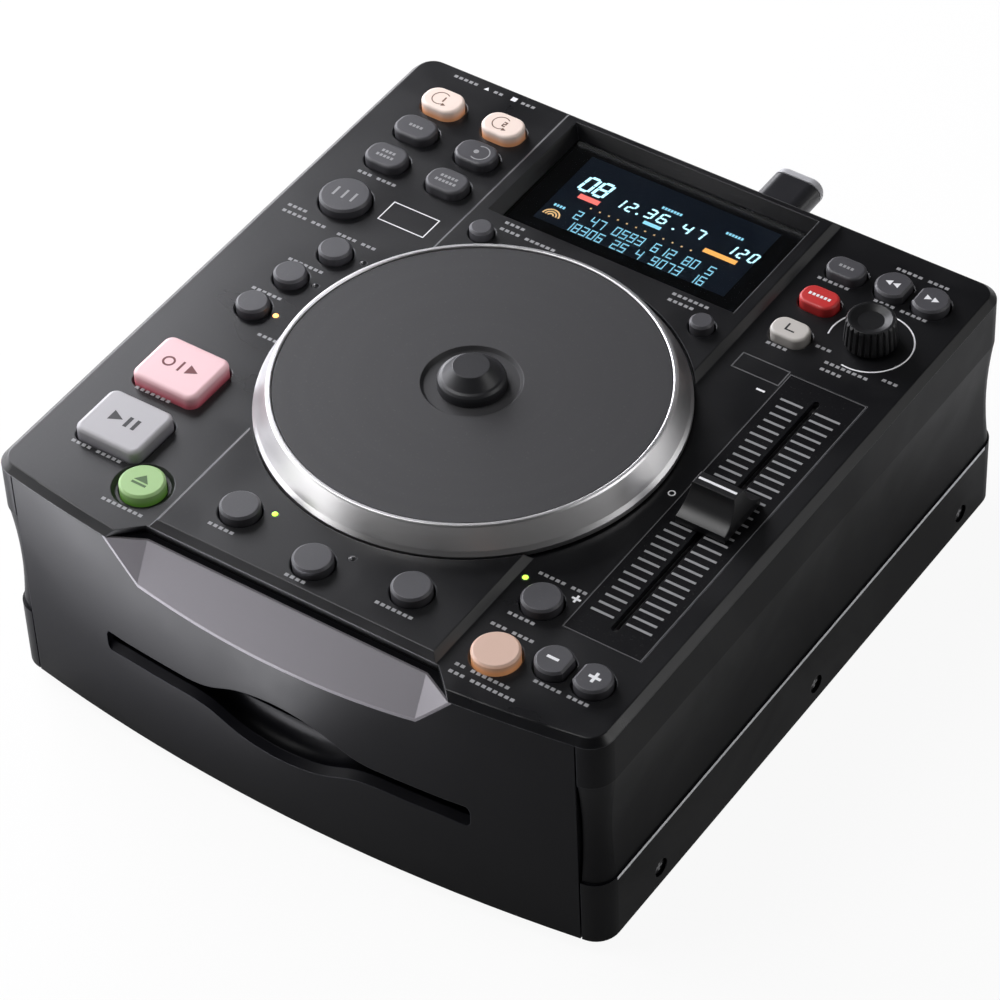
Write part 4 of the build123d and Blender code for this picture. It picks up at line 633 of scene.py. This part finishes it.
def paint(name, material):
    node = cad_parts[name]
    if not node.data.materials:
        node.data.materials.append(material)
    for slot in node.material_slots:
        slot.material = material


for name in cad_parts:
    paint(name, FINISHES.get(name, KEY_GREY))
print("painted", len(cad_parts), "nodes")

# %% [markdown]
# The pitch strip beside the fader has two ladders of short stripes, one on each side of its slot, and a
# fine line round its edge. Every fifth stripe is a little longer, as on any ruler, so the loop only needs
# the pitch and the count.

# %% Fader stripes
STRIPE_COUNT = 31
STRIPE_PITCH = 3.433 * MM
STRIPE_FIRST_Y = FADER.y - 51.6 * MM
STRIPE_T = 0.85 * MM
STRIPE_INNER = mm(2.6, 1.7)
STRIPE_OUTER = 9.9 * MM
LONG_EXTRA = 0.5 * MM
PLATE_LINE_W = 0.3 * MM


def fader_stripes():
    stripes = []
    for index in range(STRIPE_COUNT):
        y = STRIPE_FIRST_Y + index * STRIPE_PITCH
        outer = STRIPE_OUTER + (LONG_EXTRA if index % 5 == 0 else 0)
        for side, inner in zip((-1, 1), STRIPE_INNER):
            stripes.append(bar(FADER.x + side * (inner + outer) / 2, y, outer - inner, STRIPE_T))
    return stripes


stripes = fader_stripes()
sheet_piece("fader_stripes", stripes, DECK_Z, INK_GREY, "case", "fader_texture")
plate_low, plate_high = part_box("fader_plate")
line_w = plate_high.x - plate_low.x - PLATE_LINE_W
line_d = plate_high.y - plate_low.y - PLATE_LINE_W
sheet_piece("fader_plate_line", box_frame(FADER.x, FADER.y, line_w, line_d, PLATE_LINE_W), DECK_Z,
            INK_FAINT, "case", "fader_texture")
print(len(stripes), "stripes")

# %% [markdown]
# Legends stand in for the words beside the keys. Each word is a row of short dashes, one for a letter,
# at the letters' own pitch, so the deck keeps the rhythm of its print without saying anything.

# %% Legends on the deck
LETTER_PITCH = 1.95 * MM
DASH_W = 1.3 * MM
DASH_H = 1.15 * MM
WORD_GAP = 0.8


def legend(x, y, words, pitch=LETTER_PITCH):
    """Rows of dashes from a left end: one number for each word, its count of letters."""
    dashes = []
    for letters in words:
        for _ in range(letters):
            dashes.append(bar(x + pitch / 2, y, pitch * DASH_W / LETTER_PITCH, DASH_H))
            x += pitch
        x += WORD_GAP * pitch
    return dashes


# left end and middle of each row in millimetres, and the letters of its words
DECK_LEGENDS = [
    (-94.0, 102.8, (5,)), (-78.4, 102.8, (2,)), (-67.8, 102.8, (3,)),
    (-93.2, 47.6, (3, 4)), (-102.4, 22.6, (4,)), (-102.4, 19.6, (5, 3)),
    (-81.0, 19.4, (4, 3)), (-87.0, 1.8, (7,)), (-88.7, -15.0, (6,)), (-74.4, -31.4, (4,)),
    (-91.8, -70.2, (7,)), (-93.9, -98.8, (4, 5)), (-71.0, -113.6, (8,)),
    (57.0, 81.9, (6,)), (75.6, 98.2, (5, 4)), (77.1, 82.0, (4, 5)), (59.2, 48.4, (4,)),
    (72.8, 55.0, (3,)), (78.8, 50.2, (8,)), (79.2, 47.0, (4,)), (97.6, 52.6, (3,)),
    (55.6, -70.0, (5, 3)), (57.0, -88.0, (5,)), (55.2, -94.0, (3, 4)),
    (55.6, -112.6, (2, 7)), (55.6, -115.8, (3, 8)), (78.2, -106.2, (5, 4)),
]
PLATE_LEGENDS = [
    (-37.6, 49.6, (4,)), (-37.4, 46.4, (4, 6)), (24.6, 49.5, (7,)), (24.8, 46.6, (5,)),
    (-36.4, -106.8, (5,)), (-4.9, -111.8, (4,)), (23.7, -106.8, (7,)),
]


def all_legends(rows):
    dashes = []
    for x, y, words in rows:
        dashes += legend(*mm(x, y), words)
    return dashes


sheet_piece("deck_legends", all_legends(DECK_LEGENDS), DECK_Z, INK_GREY, "case", "deck_black")
sheet_piece("plate_legends", all_legends(PLATE_LEGENDS), PLATE_Z, INK_GREY, "case", "deck_black")
print(len(DECK_LEGENDS) + len(PLATE_LEGENDS), "legends")

# %% [markdown]
# Some marks are signs: the power switch's in and out, a badge's bare frame, the arc round the knob, the
# plus and minus ends of the fader and its middle. They are drawn with the same outlines.

# %% Signs on the deck
SWITCH_SIGN_W = 1.9
PITCH_SIGN_W, PITCH_SIGN_STROKE = 3.0, 0.8
KNOB_ARC = {"radius": 13.4 * MM, "stroke": 0.5 * MM, "start": -100, "end": 195, "steps": 60}
MIDDLE_SIGN_X, MIDDLE_SIGN_R, MIDDLE_SIGN_STROKE = mm(70.7, 1.0, 0.45)
# middle, width, depth and stroke of the two bare frames
WHITE_BADGE = mm(-65.4, 36.6, 17.6, 9.6, 0.4)
FAINT_BADGE = mm(64.5, 37.2, 17.0, 7.4, 0.45)


def deck_signs():
    signs = [arrow_up(*mm(-80.8, 102.9, SWITCH_SIGN_W, 1.6)),
             bar(*mm(-70.4, 103.0, SWITCH_SIGN_W, SWITCH_SIGN_W))]
    signs += box_frame(*WHITE_BADGE)
    signs.append(bar(*mm(69.4, 29.2, PITCH_SIGN_W, PITCH_SIGN_STROKE)))
    signs.append(plus(*mm(71.0, -73.2, PITCH_SIGN_W, PITCH_SIGN_STROKE)))
    signs += ring(MIDDLE_SIGN_X, FADER.y, MIDDLE_SIGN_R, MIDDLE_SIGN_STROKE)
    signs.append(band(KNOB.x, KNOB.y, **KNOB_ARC))
    return signs


sheet_piece("deck_signs", deck_signs(), DECK_Z, WHITE_INK_AND_HIGHLIGHT, "case", "deck_black")
sheet_piece("bare_badge", box_frame(*FAINT_BADGE), DECK_Z, INK_FAINT, "case", "deck_black")
print("signs done")

# %% [markdown]
# Symbols on the keys ride on the keys, so they go down with them. Every symbol is drawn round the middle
# of its key's own box. The first two loop keys carry an open loop with an arrow head, round a one or a
# two, and the key that ends the loop an arc with a dot.

# %% Symbols on the loop keys
def on_key(key, outlines, material):
    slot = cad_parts[key].get("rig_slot") or "key_grey"
    return sheet_piece(key + "_mark", outlines, top(key), material, key, slot)


def shifted(centre, outline_maker, x, y, *sizes):
    """An outline at x, y from a key's centre, with every size in millimetres."""
    return outline_maker(centre.x + x * MM, centre.y + y * MM, *mm(*sizes))


LOOP_R, LOOP_STROKE = mm(2.9, 0.35)
LOOP_OPENS, LOOP_CLOSES = 50, 310
LOOP_SIGN_X, NUMBER_X, NUMBER_SIZE = -0.8, 0.6, 2.4
ARC_R, ARC_STROKE, ARC_SHIFT, ARC_DOT_R = mm(3.2, 0.4, 1.4, 0.9)


def loop_sign(centre):
    """An open loop with an arrow head, as on looping keys."""
    x = centre.x + LOOP_SIGN_X * MM
    loop = band(x, centre.y, LOOP_R, LOOP_STROKE, LOOP_OPENS, LOOP_CLOSES)
    return [loop, shifted(centre, arrow, LOOP_SIGN_X + 2.6, -2.4, 1.5, 1.5)]


def number_one(x, y, size):
    return [bar(x, y, size * 0.22, size)]


def number_two(x, y, size):
    """Three level strokes, with an upright at the upper right and one at the lower left."""
    stroke, w = size * 0.2, size * 0.56
    level = [bar(x, y + k * (size - stroke) / 2, w, stroke) for k in (1, 0, -1)]
    return level + [bar(x + k * (w - stroke) / 2, y + k * size / 4, stroke, size / 2 - stroke)
                    for k in (1, -1)]


for key, draw_number in (("loop_in_a1_key", number_one), ("loop_in_a2_key", number_two)):
    centre = mid(key)
    on_key(key, loop_sign(centre) + shifted(centre, draw_number, NUMBER_X, 0, NUMBER_SIZE), INK_BROWN)
centre = mid("loop_out_key")
arc = band(centre.x + ARC_SHIFT, centre.y, ARC_R, ARC_STROKE, -120, 120)
on_key("loop_out_key", [arc, dot(centre.x, centre.y, ARC_DOT_R)], INK_GREY)
print("loop keys marked")

# %% [markdown]
# Five keys carry words on the real player. They get rows of dashes, like the legends on the deck, but
# closer together. A key with two words has two rows.

# %% Dashes on the keys
KEY_LETTER_PITCH = 1.35 * MM
KEY_ROW_PITCH = 2.3 * MM
KEY_WORDS = {"flip_key": (4,), "next_track_key": (4, 5), "loop_exit_key": (5, 6), "memo_key": (4,),
             "source_key": (6,)}

for key, words in KEY_WORDS.items():
    centre = mid(key)
    dashes = []
    for index, letters in enumerate(words):
        y = centre.y + ((len(words) - 1) / 2 - index) * KEY_ROW_PITCH
        dashes += legend(centre.x - letters * KEY_LETTER_PITCH / 2, y, (letters,), KEY_LETTER_PITCH)
    on_key(key, dashes, WHITE_INK_AND_HIGHLIGHT if key == "source_key" else INK_GREY)
print(len(KEY_WORDS), "keys with words")

# %% [markdown]
# The other keys carry plain signs: three strokes, circle and arrow, arrow and two strokes, an eject sign,
# a corner, double arrows, minus and plus. A table gives each key's ink and its outlines, so that one loop
# draws them all.

# %% Signs on the keys
CUE_RING = (-4.6, 0, 1.8, 0.7)
KEY_SIGNS = {
    "tap_key": (INK_GREY, [(bar, -3.4, 0, 0.8, 4.2), (bar, 0, 0, 0.8, 4.2), (bar, 3.4, 0, 0.8, 4.2)]),
    "cue_key": (INK_DARK_RED, [(bar, 0, 0, 0.8, 4.4), (arrow, 4.4, 0, 3.8, 4.2)]),
    "play_pause_key": (INK_BLACK, [(arrow, -2.8, 0, 4.4, 4.4), (bar, 1.4, 0, 1.3, 4.4),
                                   (bar, 4.2, 0, 1.3, 4.4)]),
    "eject_key": (INK_DARK_GREEN, [(arrow_up, 0, 0.9, 5.2, 3.0), (bar, 0, -1.7, 5.2, 0.9)]),
    "back_key": (INK_BLACK, [(bar, -1.2, 0.5, 0.6, 2.6), (bar, 0.2, -1.1, 3.4, 0.6)]),
    "search_back_key": (WHITE_INK_AND_HIGHLIGHT, [(arrow_back, -1.3, 0, 2.2, 2.4), (arrow_back, 1.3, 0, 2.2, 2.4)]),
    "search_forward_key": (WHITE_INK_AND_HIGHLIGHT, [(arrow, -1.3, 0, 2.2, 2.4), (arrow, 1.3, 0, 2.2, 2.4)]),
    "bend_minus_key": (WHITE_INK_AND_HIGHLIGHT, [(bar, 0, 0, 4.0, 1.0)]),
    "bend_plus_key": (WHITE_INK_AND_HIGHLIGHT, [(plus, 0, 0, 4.0, 1.0)]),
}

for key, (colour, signs) in KEY_SIGNS.items():
    centre = mid(key)
    outlines = [shifted(centre, *sign) for sign in signs]
    if key == "cue_key":
        outlines = shifted(centre, ring, *CUE_RING) + outlines
    on_key(key, outlines, colour)
print(len(KEY_SIGNS), "keys with signs")

# %% [markdown]
# The display is a black sheet under a smoked lens. The lit field is a deep blue glow, and the digits are
# made of seven segments each, as on a real fluorescent display, so one function writes any number.

# %% Display colours
def glow(name, colour, strength):
    """Light-emitting print under the lens."""
    material = ink(name, colour, 0.4)
    _, shader = shader_of(material)
    shader.inputs["Emission Color"].default_value = (*colour, 1.0)
    shader.inputs["Emission Strength"].default_value = strength
    return material


FIELD_BLUE = glow("field_blue", (0.002, 0.007, 0.015), 0.5)
DIGIT_CYAN = glow("digit_cyan", (0.55, 0.95, 1.0), 2.2)
DOT_CYAN = glow("dot_cyan", (0.35, 0.80, 0.95), 1.3)
BAR_RED = glow("bar_red", (1.0, 0.18, 0.14), 1.7)
BAR_ORANGE = glow("bar_orange", (1.0, 0.45, 0.10), 1.6)
AMBER = glow("amber", (1.0, 0.62, 0.25), 1.2)
print("display colours made")

# %% Segment digits
SEGMENTS = {"0": "abcdef", "1": "bc", "2": "abged", "3": "abgcd", "4": "fgbc", "5": "afgcd",
            "6": "afgedc", "7": "abc", "8": "abcdefg", "9": "abcdfg"}
SEGMENT_GAP = 0.18


def digit(char, x, y, w, h, stroke, lean=0.14):
    """One seven-segment digit, leaning to the right, from its lower left corner."""
    mid_y, gap = h / 2, stroke * SEGMENT_GAP
    spans = {
        "a": (stroke / 2, h, w - stroke / 2, h), "g": (stroke / 2, mid_y, w - stroke / 2, mid_y),
        "d": (stroke / 2, 0, w - stroke / 2, 0), "f": (0, mid_y, 0, h), "b": (w, mid_y, w, h),
        "e": (0, 0, 0, mid_y), "c": (w, 0, w, mid_y),
    }
    shapes = []
    for letter in SEGMENTS[char]:
        x0, y0, x1, y1 = spans[letter]
        if x0 == x1:
            corners = bar(x0, (y0 + y1) / 2, stroke, y1 - y0 - 2 * gap)
        else:
            corners = bar((x0 + x1) / 2, y0, x1 - x0, stroke)
        shapes.append([(x + p + lean * q, y + q) for p, q in corners])
    return shapes


def number(text, x, y, w, h, stroke, pitch):
    shapes = []
    for char in text:
        if char != " ":
            shapes += digit(char, x, y, w, h, stroke)
        x += pitch
    return shapes


print("digits ready")

# %% [markdown]
# The lower rows are dot-matrix text. Each place in the row is a block of five by seven dots; the dots
# that are lit follow a digit's segments, so the rows read as plain numbers.

# %% Dot-matrix rows
DOT_COLS, DOT_ROWS = 5, 7
DOT_SHARE = 0.8


def lit_dots(char):
    """Which of the five by seven dots a digit lights."""
    last_col, last_row, middle = DOT_COLS - 1, DOT_ROWS - 1, DOT_ROWS // 2
    on = set()
    for letter in SEGMENTS[char]:
        if letter in "agd":
            row = {"a": last_row, "g": middle, "d": 0}[letter]
            on |= {(col, row) for col in range(DOT_COLS)}
        else:
            col = last_col if letter in "bc" else 0
            rows = range(middle, DOT_ROWS) if letter in "bf" else range(0, middle + 1)
            on |= {(col, row) for row in rows}
    return on


def matrix_text(text, x, y, dot_pitch, dot_rise, char_pitch):
    """A row of digits in dots, from the middle of its first and lowest dot."""
    shapes = []
    for char in text:
        dots = sorted(lit_dots(char)) if char != " " else []
        for col, row in dots:
            shapes.append(bar(x + col * dot_pitch, y + row * dot_rise, dot_pitch * DOT_SHARE,
                              dot_rise * DOT_SHARE))
        x += char_pitch
    return shapes


print("dot rows ready")

# %% [markdown]
# The layers lie a few hundredths of a millimetre apart: black sheet, lit field, then the glowing marks.
# All of it sits under the lens, which is rebuilt as a thin smoked pane so that light really crosses it.

# %% Display layers
PANE_T = 0.8 * MM
SHEET_T = 0.05 * MM
SHEET_Z = LENS_LOW.z + 0.05 * MM
FIELD_Z = SHEET_Z + 0.06 * MM
MARK_Z = FIELD_Z + 0.04 * MM
PANE_INSET = 2.0 * MM
SHEET_INSET = 0.1 * MM
LIT_FIELD = mm(0, 79.0, 71.0, 34.0)
window = (LENS_LOW + LENS_HIGH) / 2
pane_w = LENS_HIGH.x - LENS_LOW.x - 2 * PANE_INSET
pane_d = LENS_HIGH.y - LENS_LOW.y - 2 * PANE_INSET


def display_piece(name, outlines, material, z=MARK_Z, thickness=PRINT_T):
    return sheet_piece("display_" + name, outlines, z, material, "case", "display_glass", thickness)


sheet = bar(window.x, window.y, pane_w - 2 * SHEET_INSET, pane_d - 2 * SHEET_INSET)
display_piece("sheet", [sheet], DISPLAY_GLASS, SHEET_Z, SHEET_T)
display_piece("field", [bar(*LIT_FIELD)], FIELD_BLUE, FIELD_Z)
print("display sheet", round(pane_w / MM, 1), "by", round(pane_d / MM, 1), "mm")

# %% Display digits
SMALL_H, SMALL_STROKE, SMALL_GAP = 4.2, 0.65, 2.1
# text, left end, foot and width of each small number, in millimetres
SMALL_NUMBERS = [("12", -17.2, 79.8, 2.3), ("36", -6.3, 80.5, 2.7), ("47", 7.2, 80.3, 2.7),
                 ("120", 24.6, 79.7, 2.0)]

# left end, foot, width, height, stroke and pitch of the large number
LARGE_NUMBER = mm(-31.0, 80.7, 3.6, 6.8, 1.0, 5.3)

digits = number("08", *LARGE_NUMBER)
for text, x, y, w in SMALL_NUMBERS:
    digits += number(text, *mm(x, y, w, SMALL_H, SMALL_STROKE, w + SMALL_GAP))
digits += [dot(*mm(x, 80.2, 0.45)) for x in (-8.4, 5.2)]
display_piece("digits", digits, DIGIT_CYAN)
print("display digits written")

# %% [markdown]
# Small labels, a red and an orange bar, three amber arcs, two rows of numbers and a line of amber ticks
# fill the rest of the display. Each colour of light is a piece of its own.

# %% Display labels, bars and rows
LABEL_PITCH = 1.1 * MM
DOT_X, DOT_Y, CHAR_PITCH = mm(0.46, 0.62, 2.9)
ROW_X = -24.4
TICK_COUNT, TICK_FIRST_X, TICK_PITCH = 12, -22.0, 3.4

labels = []
for x, y, letters in ((-3.4, 87.2, 7), (20.2, 87.6, 6), (-33.2, 70.4, 4)):
    labels += legend(*mm(x, y), (letters,), LABEL_PITCH)
labels.append(bar(*mm(-1.3, 78.2, 6.4, 1.5)))
display_piece("labels", labels, DOT_CYAN)
display_piece("red_bar", [bar(*mm(-24.9, 78.0, 7.6, 2.2))], BAR_RED)
display_piece("orange_bar", [bar(*mm(24.6, 77.2, 12.0, 2.0))], BAR_ORANGE)
arcs = [band(*mm(-31.1, 65.2, radius, 0.5), 0, 180) for radius in (2.9, 1.9, 0.9)]
display_piece("amber_arc", arcs, AMBER)
rows = []
for text, y in (("2 47 0593 612 80 5", 68.0), ("18306 25 4 9073 16", 62.5)):
    rows += matrix_text(text, *mm(ROW_X, y), DOT_X, DOT_Y, CHAR_PITCH)
display_piece("rows", rows, DOT_CYAN)
ticks = [bar(*mm(TICK_FIRST_X + TICK_PITCH * i, 74.7, 0.6, 0.6)) for i in range(TICK_COUNT)]
display_piece("ticks", ticks, AMBER)
print("display written")

# %% [markdown]
# The pane is tinted acrylic: full transmission, a grey base colour, and next to no roughness, so that the
# digits stay sharp. The handling group changes that roughness in patches.

# %% Smoked pane
SMOKE_GREY = (0.62, 0.65, 0.70, 1.0)
ACRYLIC_IOR = 1.49
PANE_ROUGHNESS = 0.03


def smoked_glass():
    material, tree, shader = new_material("lens_smoke")
    shader.inputs["Base Color"].default_value = SMOKE_GREY
    shader.inputs["Transmission Weight"].default_value = 1.0
    shader.inputs["IOR"].default_value = ACRYLIC_IOR
    marks = place_group(tree, HANDLING)
    gloss = ramp(tree, marks, "Smudge", 0.0, 1.0, PANE_ROUGHNESS, 0.0)
    join(tree, gloss, "Result", shader, "Roughness")
    return material


LENS_SMOKE = smoked_glass()
pane = sheet_piece("display_pane", [bar(window.x, window.y, pane_w, pane_d)], LENS_HIGH.z - PANE_T,
                   LENS_SMOKE, "case", "lens_smoke", PANE_T)
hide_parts("display_lens")
print("pane", round(PANE_T / MM, 2), "mm thick")

# %% [markdown]
# Indicator lamps are light pipes whose ends stand flush in the deck. A small dome on each end is lit or
# dark: orange for an effect that is on, green beside the brake and the pitch key.

# %% Indicator domes
LED_ORANGE = glow("led_orange", (1.0, 0.42, 0.12), 3.0)
LED_GREEN = glow("led_green", (0.50, 1.0, 0.08), 1.6)
LED_DARK = ink("led_dark", (0.02, 0.02, 0.022), 0.2)
LED_ARC_R = 74.3 * MM
LED_R, LED_RISE = mm(0.95, 0.4)
PLATE_HALF_W = 51.4 * MM
DOME_STEPS, DOME_RINGS = 20, 4
LED_PLACES = [(152.0, LED_DARK), (165.7, LED_DARK), (179.5, LED_ORANGE), (253.2, LED_GREEN),
              (276.5, LED_DARK), (316.3, LED_GREEN)]


def dome(name, x, y, z, radius, height, material):
    """A shallow cap of a sphere, closed by its flat foot."""
    mesh = bpy.data.meshes.new(name)
    form = bmesh.new()
    layers = []
    for layer in range(DOME_RINGS):
        angle = pi / 2 * layer / DOME_RINGS
        circle = dot(x, y, radius * cos(angle), DOME_STEPS)
        layers.append([form.verts.new((*point, z + height * sin(angle))) for point in circle])
    tip = form.verts.new((x, y, z + height))
    form.faces.new(layers[0][::-1])
    for i in range(DOME_STEPS):
        j = (i + 1) % DOME_STEPS
        for lower, upper in zip(layers, layers[1:]):
            form.faces.new((lower[i], lower[j], upper[j], upper[i]))
        form.faces.new((layers[-1][i], layers[-1][j], tip))
    form.to_mesh(mesh)
    form.free()
    for face in mesh.polygons:
        face.use_smooth = len(face.vertices) < DOME_STEPS
    return link(name, mesh, material, "case", "indicator_clear")


for index, (angle, material) in enumerate(LED_PLACES):
    x = LED_ARC_R * cos(radians(angle))
    y = JOG.y + LED_ARC_R * sin(radians(angle))
    ground = PLATE_Z if abs(x) < PLATE_HALF_W else DECK_Z
    dome(f"indicator_dome_{index + 1}", x, y, ground, LED_R, LED_RISE, material)
print(len(LED_PLACES), "indicators")

# %% [markdown]
# A fader cap carries a white pointer line across its ridge. Along the ledge at the foot of each flank a
# white strip is painted from end to end as the highlight of the ledge's edge. The screws in the flanks
# get the cross of their drive.

# %% Pointer and painted highlight lines on the flanks
POINTER_W, POINTER_T = mm(13.0, 0.9)
cap = mid("fader_cap")
sheet_piece("fader_pointer", [bar(cap.x, cap.y, POINTER_W, POINTER_T)], top("fader_cap"), WHITE_INK_AND_HIGHLIGHT,
            "pitch_fader", "fader_black")

LEDGE_Z = 30.0 * MM
LINE_H = 1.3 * MM
LINE_FRONT = FRONT_Y + 16.1 * MM
LINE_BACK = BACK_Y - 8.6 * MM


def flank_sheet(name, outlines, x, side, material, slot):
    """Sheets on a side wall, for prints and for the painted ledge highlight: outlines in (y, z), raised
    outwards by the thickness of a print.
    """
    places = [[(x, y, z) for y, z in outline] for outline in outlines]
    return link(name, closed_sheets(name, places, (side * PRINT_T, 0, 0)), material, "case", slot)


SCREW_LOW, SCREW_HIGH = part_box("case_screws")
SCREW_Z = mid("case_screws").z
SCREW_HEAD_R = (SCREW_HIGH.z - SCREW_LOW.z) / 2
SCREW_ROW = (SCREW_LOW.y + SCREW_HEAD_R, (SCREW_LOW.y + SCREW_HIGH.y) / 2, SCREW_HIGH.y - SCREW_HEAD_R)
CROSS_W, CROSS_STROKE = mm(3.2, 0.8)

for side, word in ((-1, "left"), (1, "right")):
    # the white strip along the ledge is a painted highlight of the ledge's edge
    line = bar((LINE_FRONT + LINE_BACK) / 2, LEDGE_Z - LINE_H / 2, LINE_BACK - LINE_FRONT, LINE_H)
    flank_sheet("flank_painted_highlight_" + word, [line], side * HALF_W, side, WHITE_INK_AND_HIGHLIGHT, "case_black")
    crosses = [plus(y, SCREW_Z, CROSS_W, CROSS_STROKE) for y in SCREW_ROW]
    flank_sheet("screw_crosses_" + word, crosses, SCREW_HIGH.x * side, side, INK_GREY, "screw_black")
print("pointer and lines done")

# %% [markdown]
# Black plastic shows what it mirrors, so the studio is built for reflections. The floor is white to the
# camera and in glass, and less bright in reflections, so that the flanks stay black; its own shadow is
# kept. The world is dark overhead with a weak glow along the horizon.

# %% Floor and world
FLOOR_HALF = 4.0
FLOOR_WHITE = (0.9, 0.9, 0.9, 1.0)
FLOOR_ROUGHNESS = 0.8
FLOOR_LIFT = 0.93
FLOOR_LIFT_GLOSSY = 0.2
HORIZON_GLOW = 0.14
OVERHEAD_GLOW = 0.03
GLOW_FADES_FROM, GLOW_FADES_TO = 0.10, 0.32


def pale_floor():
    mesh = bpy.data.meshes.new("floor")
    half = FLOOR_HALF
    mesh.from_pydata([(-half, -half, 0), (half, -half, 0), (half, half, 0), (-half, half, 0)], [],
                     [(0, 1, 2, 3)])
    material, tree, shader = new_material("floor_white")
    shader.inputs["Base Color"].default_value = FLOOR_WHITE
    shader.inputs["Roughness"].default_value = FLOOR_ROUGHNESS
    shader.inputs["Specular IOR Level"].default_value = 0.0
    white = add(tree, "ShaderNodeEmission", {"Color": (1, 1, 1, 1), "Strength": 1.0})
    rays = add(tree, "ShaderNodeLightPath")
    direct = add(tree, "ShaderNodeMath", operation="MAXIMUM")
    join(tree, rays, "Is Camera Ray", direct, 0)
    join(tree, rays, "Is Transmission Ray", direct, 1)
    share = add(tree, "ShaderNodeMath", operation="MAXIMUM")
    join(tree, times(tree, direct, 0, FLOOR_LIFT), 0, share, 0)
    join(tree, times(tree, rays, "Is Glossy Ray", FLOOR_LIFT_GLOSSY), 0, share, 1)
    mixed = add(tree, "ShaderNodeMixShader")
    join(tree, share, 0, mixed, 0)
    join(tree, shader, "BSDF", mixed, 1)
    join(tree, white, "Emission", mixed, 2)
    join(tree, mixed, 0, tree.nodes["Material Output"], "Surface")
    mesh.materials.append(material)
    floor = bpy.data.objects.new("floor", mesh)
    bpy.context.scene.collection.objects.link(floor)


def studio_world():
    """A weak glow along the horizon, dark above it."""
    world = bpy.data.worlds.new("studio")
    world.use_nodes = True
    tree = world.node_tree
    axes = axes_of(tree, "ShaderNodeTexCoord", "Generated")
    height = ramp(tree, axes, "Z", GLOW_FADES_FROM, GLOW_FADES_TO, HORIZON_GLOW, OVERHEAD_GLOW,
                  interpolation_type="SMOOTHSTEP")
    join(tree, height, "Result", tree.nodes["Background"], "Color")
    bpy.context.scene.world = world


pale_floor()
studio_world()
print("floor and world ready")

# %% [markdown]
# Seven soft lamps. The deck mirrors what stands behind it on the left: a long softbox gives it a grey
# sheen and bright edges on the bevels that face left, and a small bright card adds the patch at the front
# left, so that the deck runs to black at the right. A high lamp gives the plain light on the keys and the
# disc. A card on the floor and one at the front left brighten the left half of the bowed front. A low
# card at the back right is for the wheel's ring, and a lamp on the right for the edges on that side.

# %% Lamps
COOL = (0.95, 0.95, 1.0)
PLAIN = (1.0, 1.0, 1.0)


def soft_lamp(name, place, target, size, radiance, colour=PLAIN):
    """A rectangular lamp; its power is worked out from the radiance of its face."""
    data = bpy.data.lights.new(name, "AREA")
    data.color = colour
    data.shape = "RECTANGLE"
    data.size, data.size_y = size
    data.energy = radiance * pi * size[0] * size[1]
    lamp = bpy.data.objects.new(name, data)
    lamp.location = place
    lamp.rotation_euler = (Vector(target) - Vector(place)).to_track_quat("-Z", "Y").to_euler()
    lamp.visible_camera = False
    bpy.context.scene.collection.objects.link(lamp)


soft_lamp("left_softbox", (-1.3, 0.45, 0.44), (0, 0.45, 0.44), (2.0, 0.8), 3.8, COOL)
soft_lamp("deck_card", (-0.65, 0.25, 0.44), (-0.10, -0.04, 0.09), (0.46, 0.34), 9.0, COOL)
soft_lamp("high_lamp", (-0.7, -0.35, 1.5), (0, 0, 0.08), (0.9, 0.9), 5.4)
soft_lamp("front_left_card", (-0.95, -0.80, 0.30), (0, 0, 0.09), (0.8, 0.5), 2.1)
soft_lamp("front_floor_card", (-0.25, -0.33, 0.004), (-0.25, -0.33, 1.0), (0.46, 0.34), 11.0, COOL)
soft_lamp("back_right_card", (0.95, 0.85, 0.18), (0, 0, 0.09), (0.6, 0.3), 1.3)
soft_lamp("right_lamp", (1.2, 0.5, 0.9), (0, 0, 0.05), (0.8, 0.8), 2.0)
print("lamps ready")
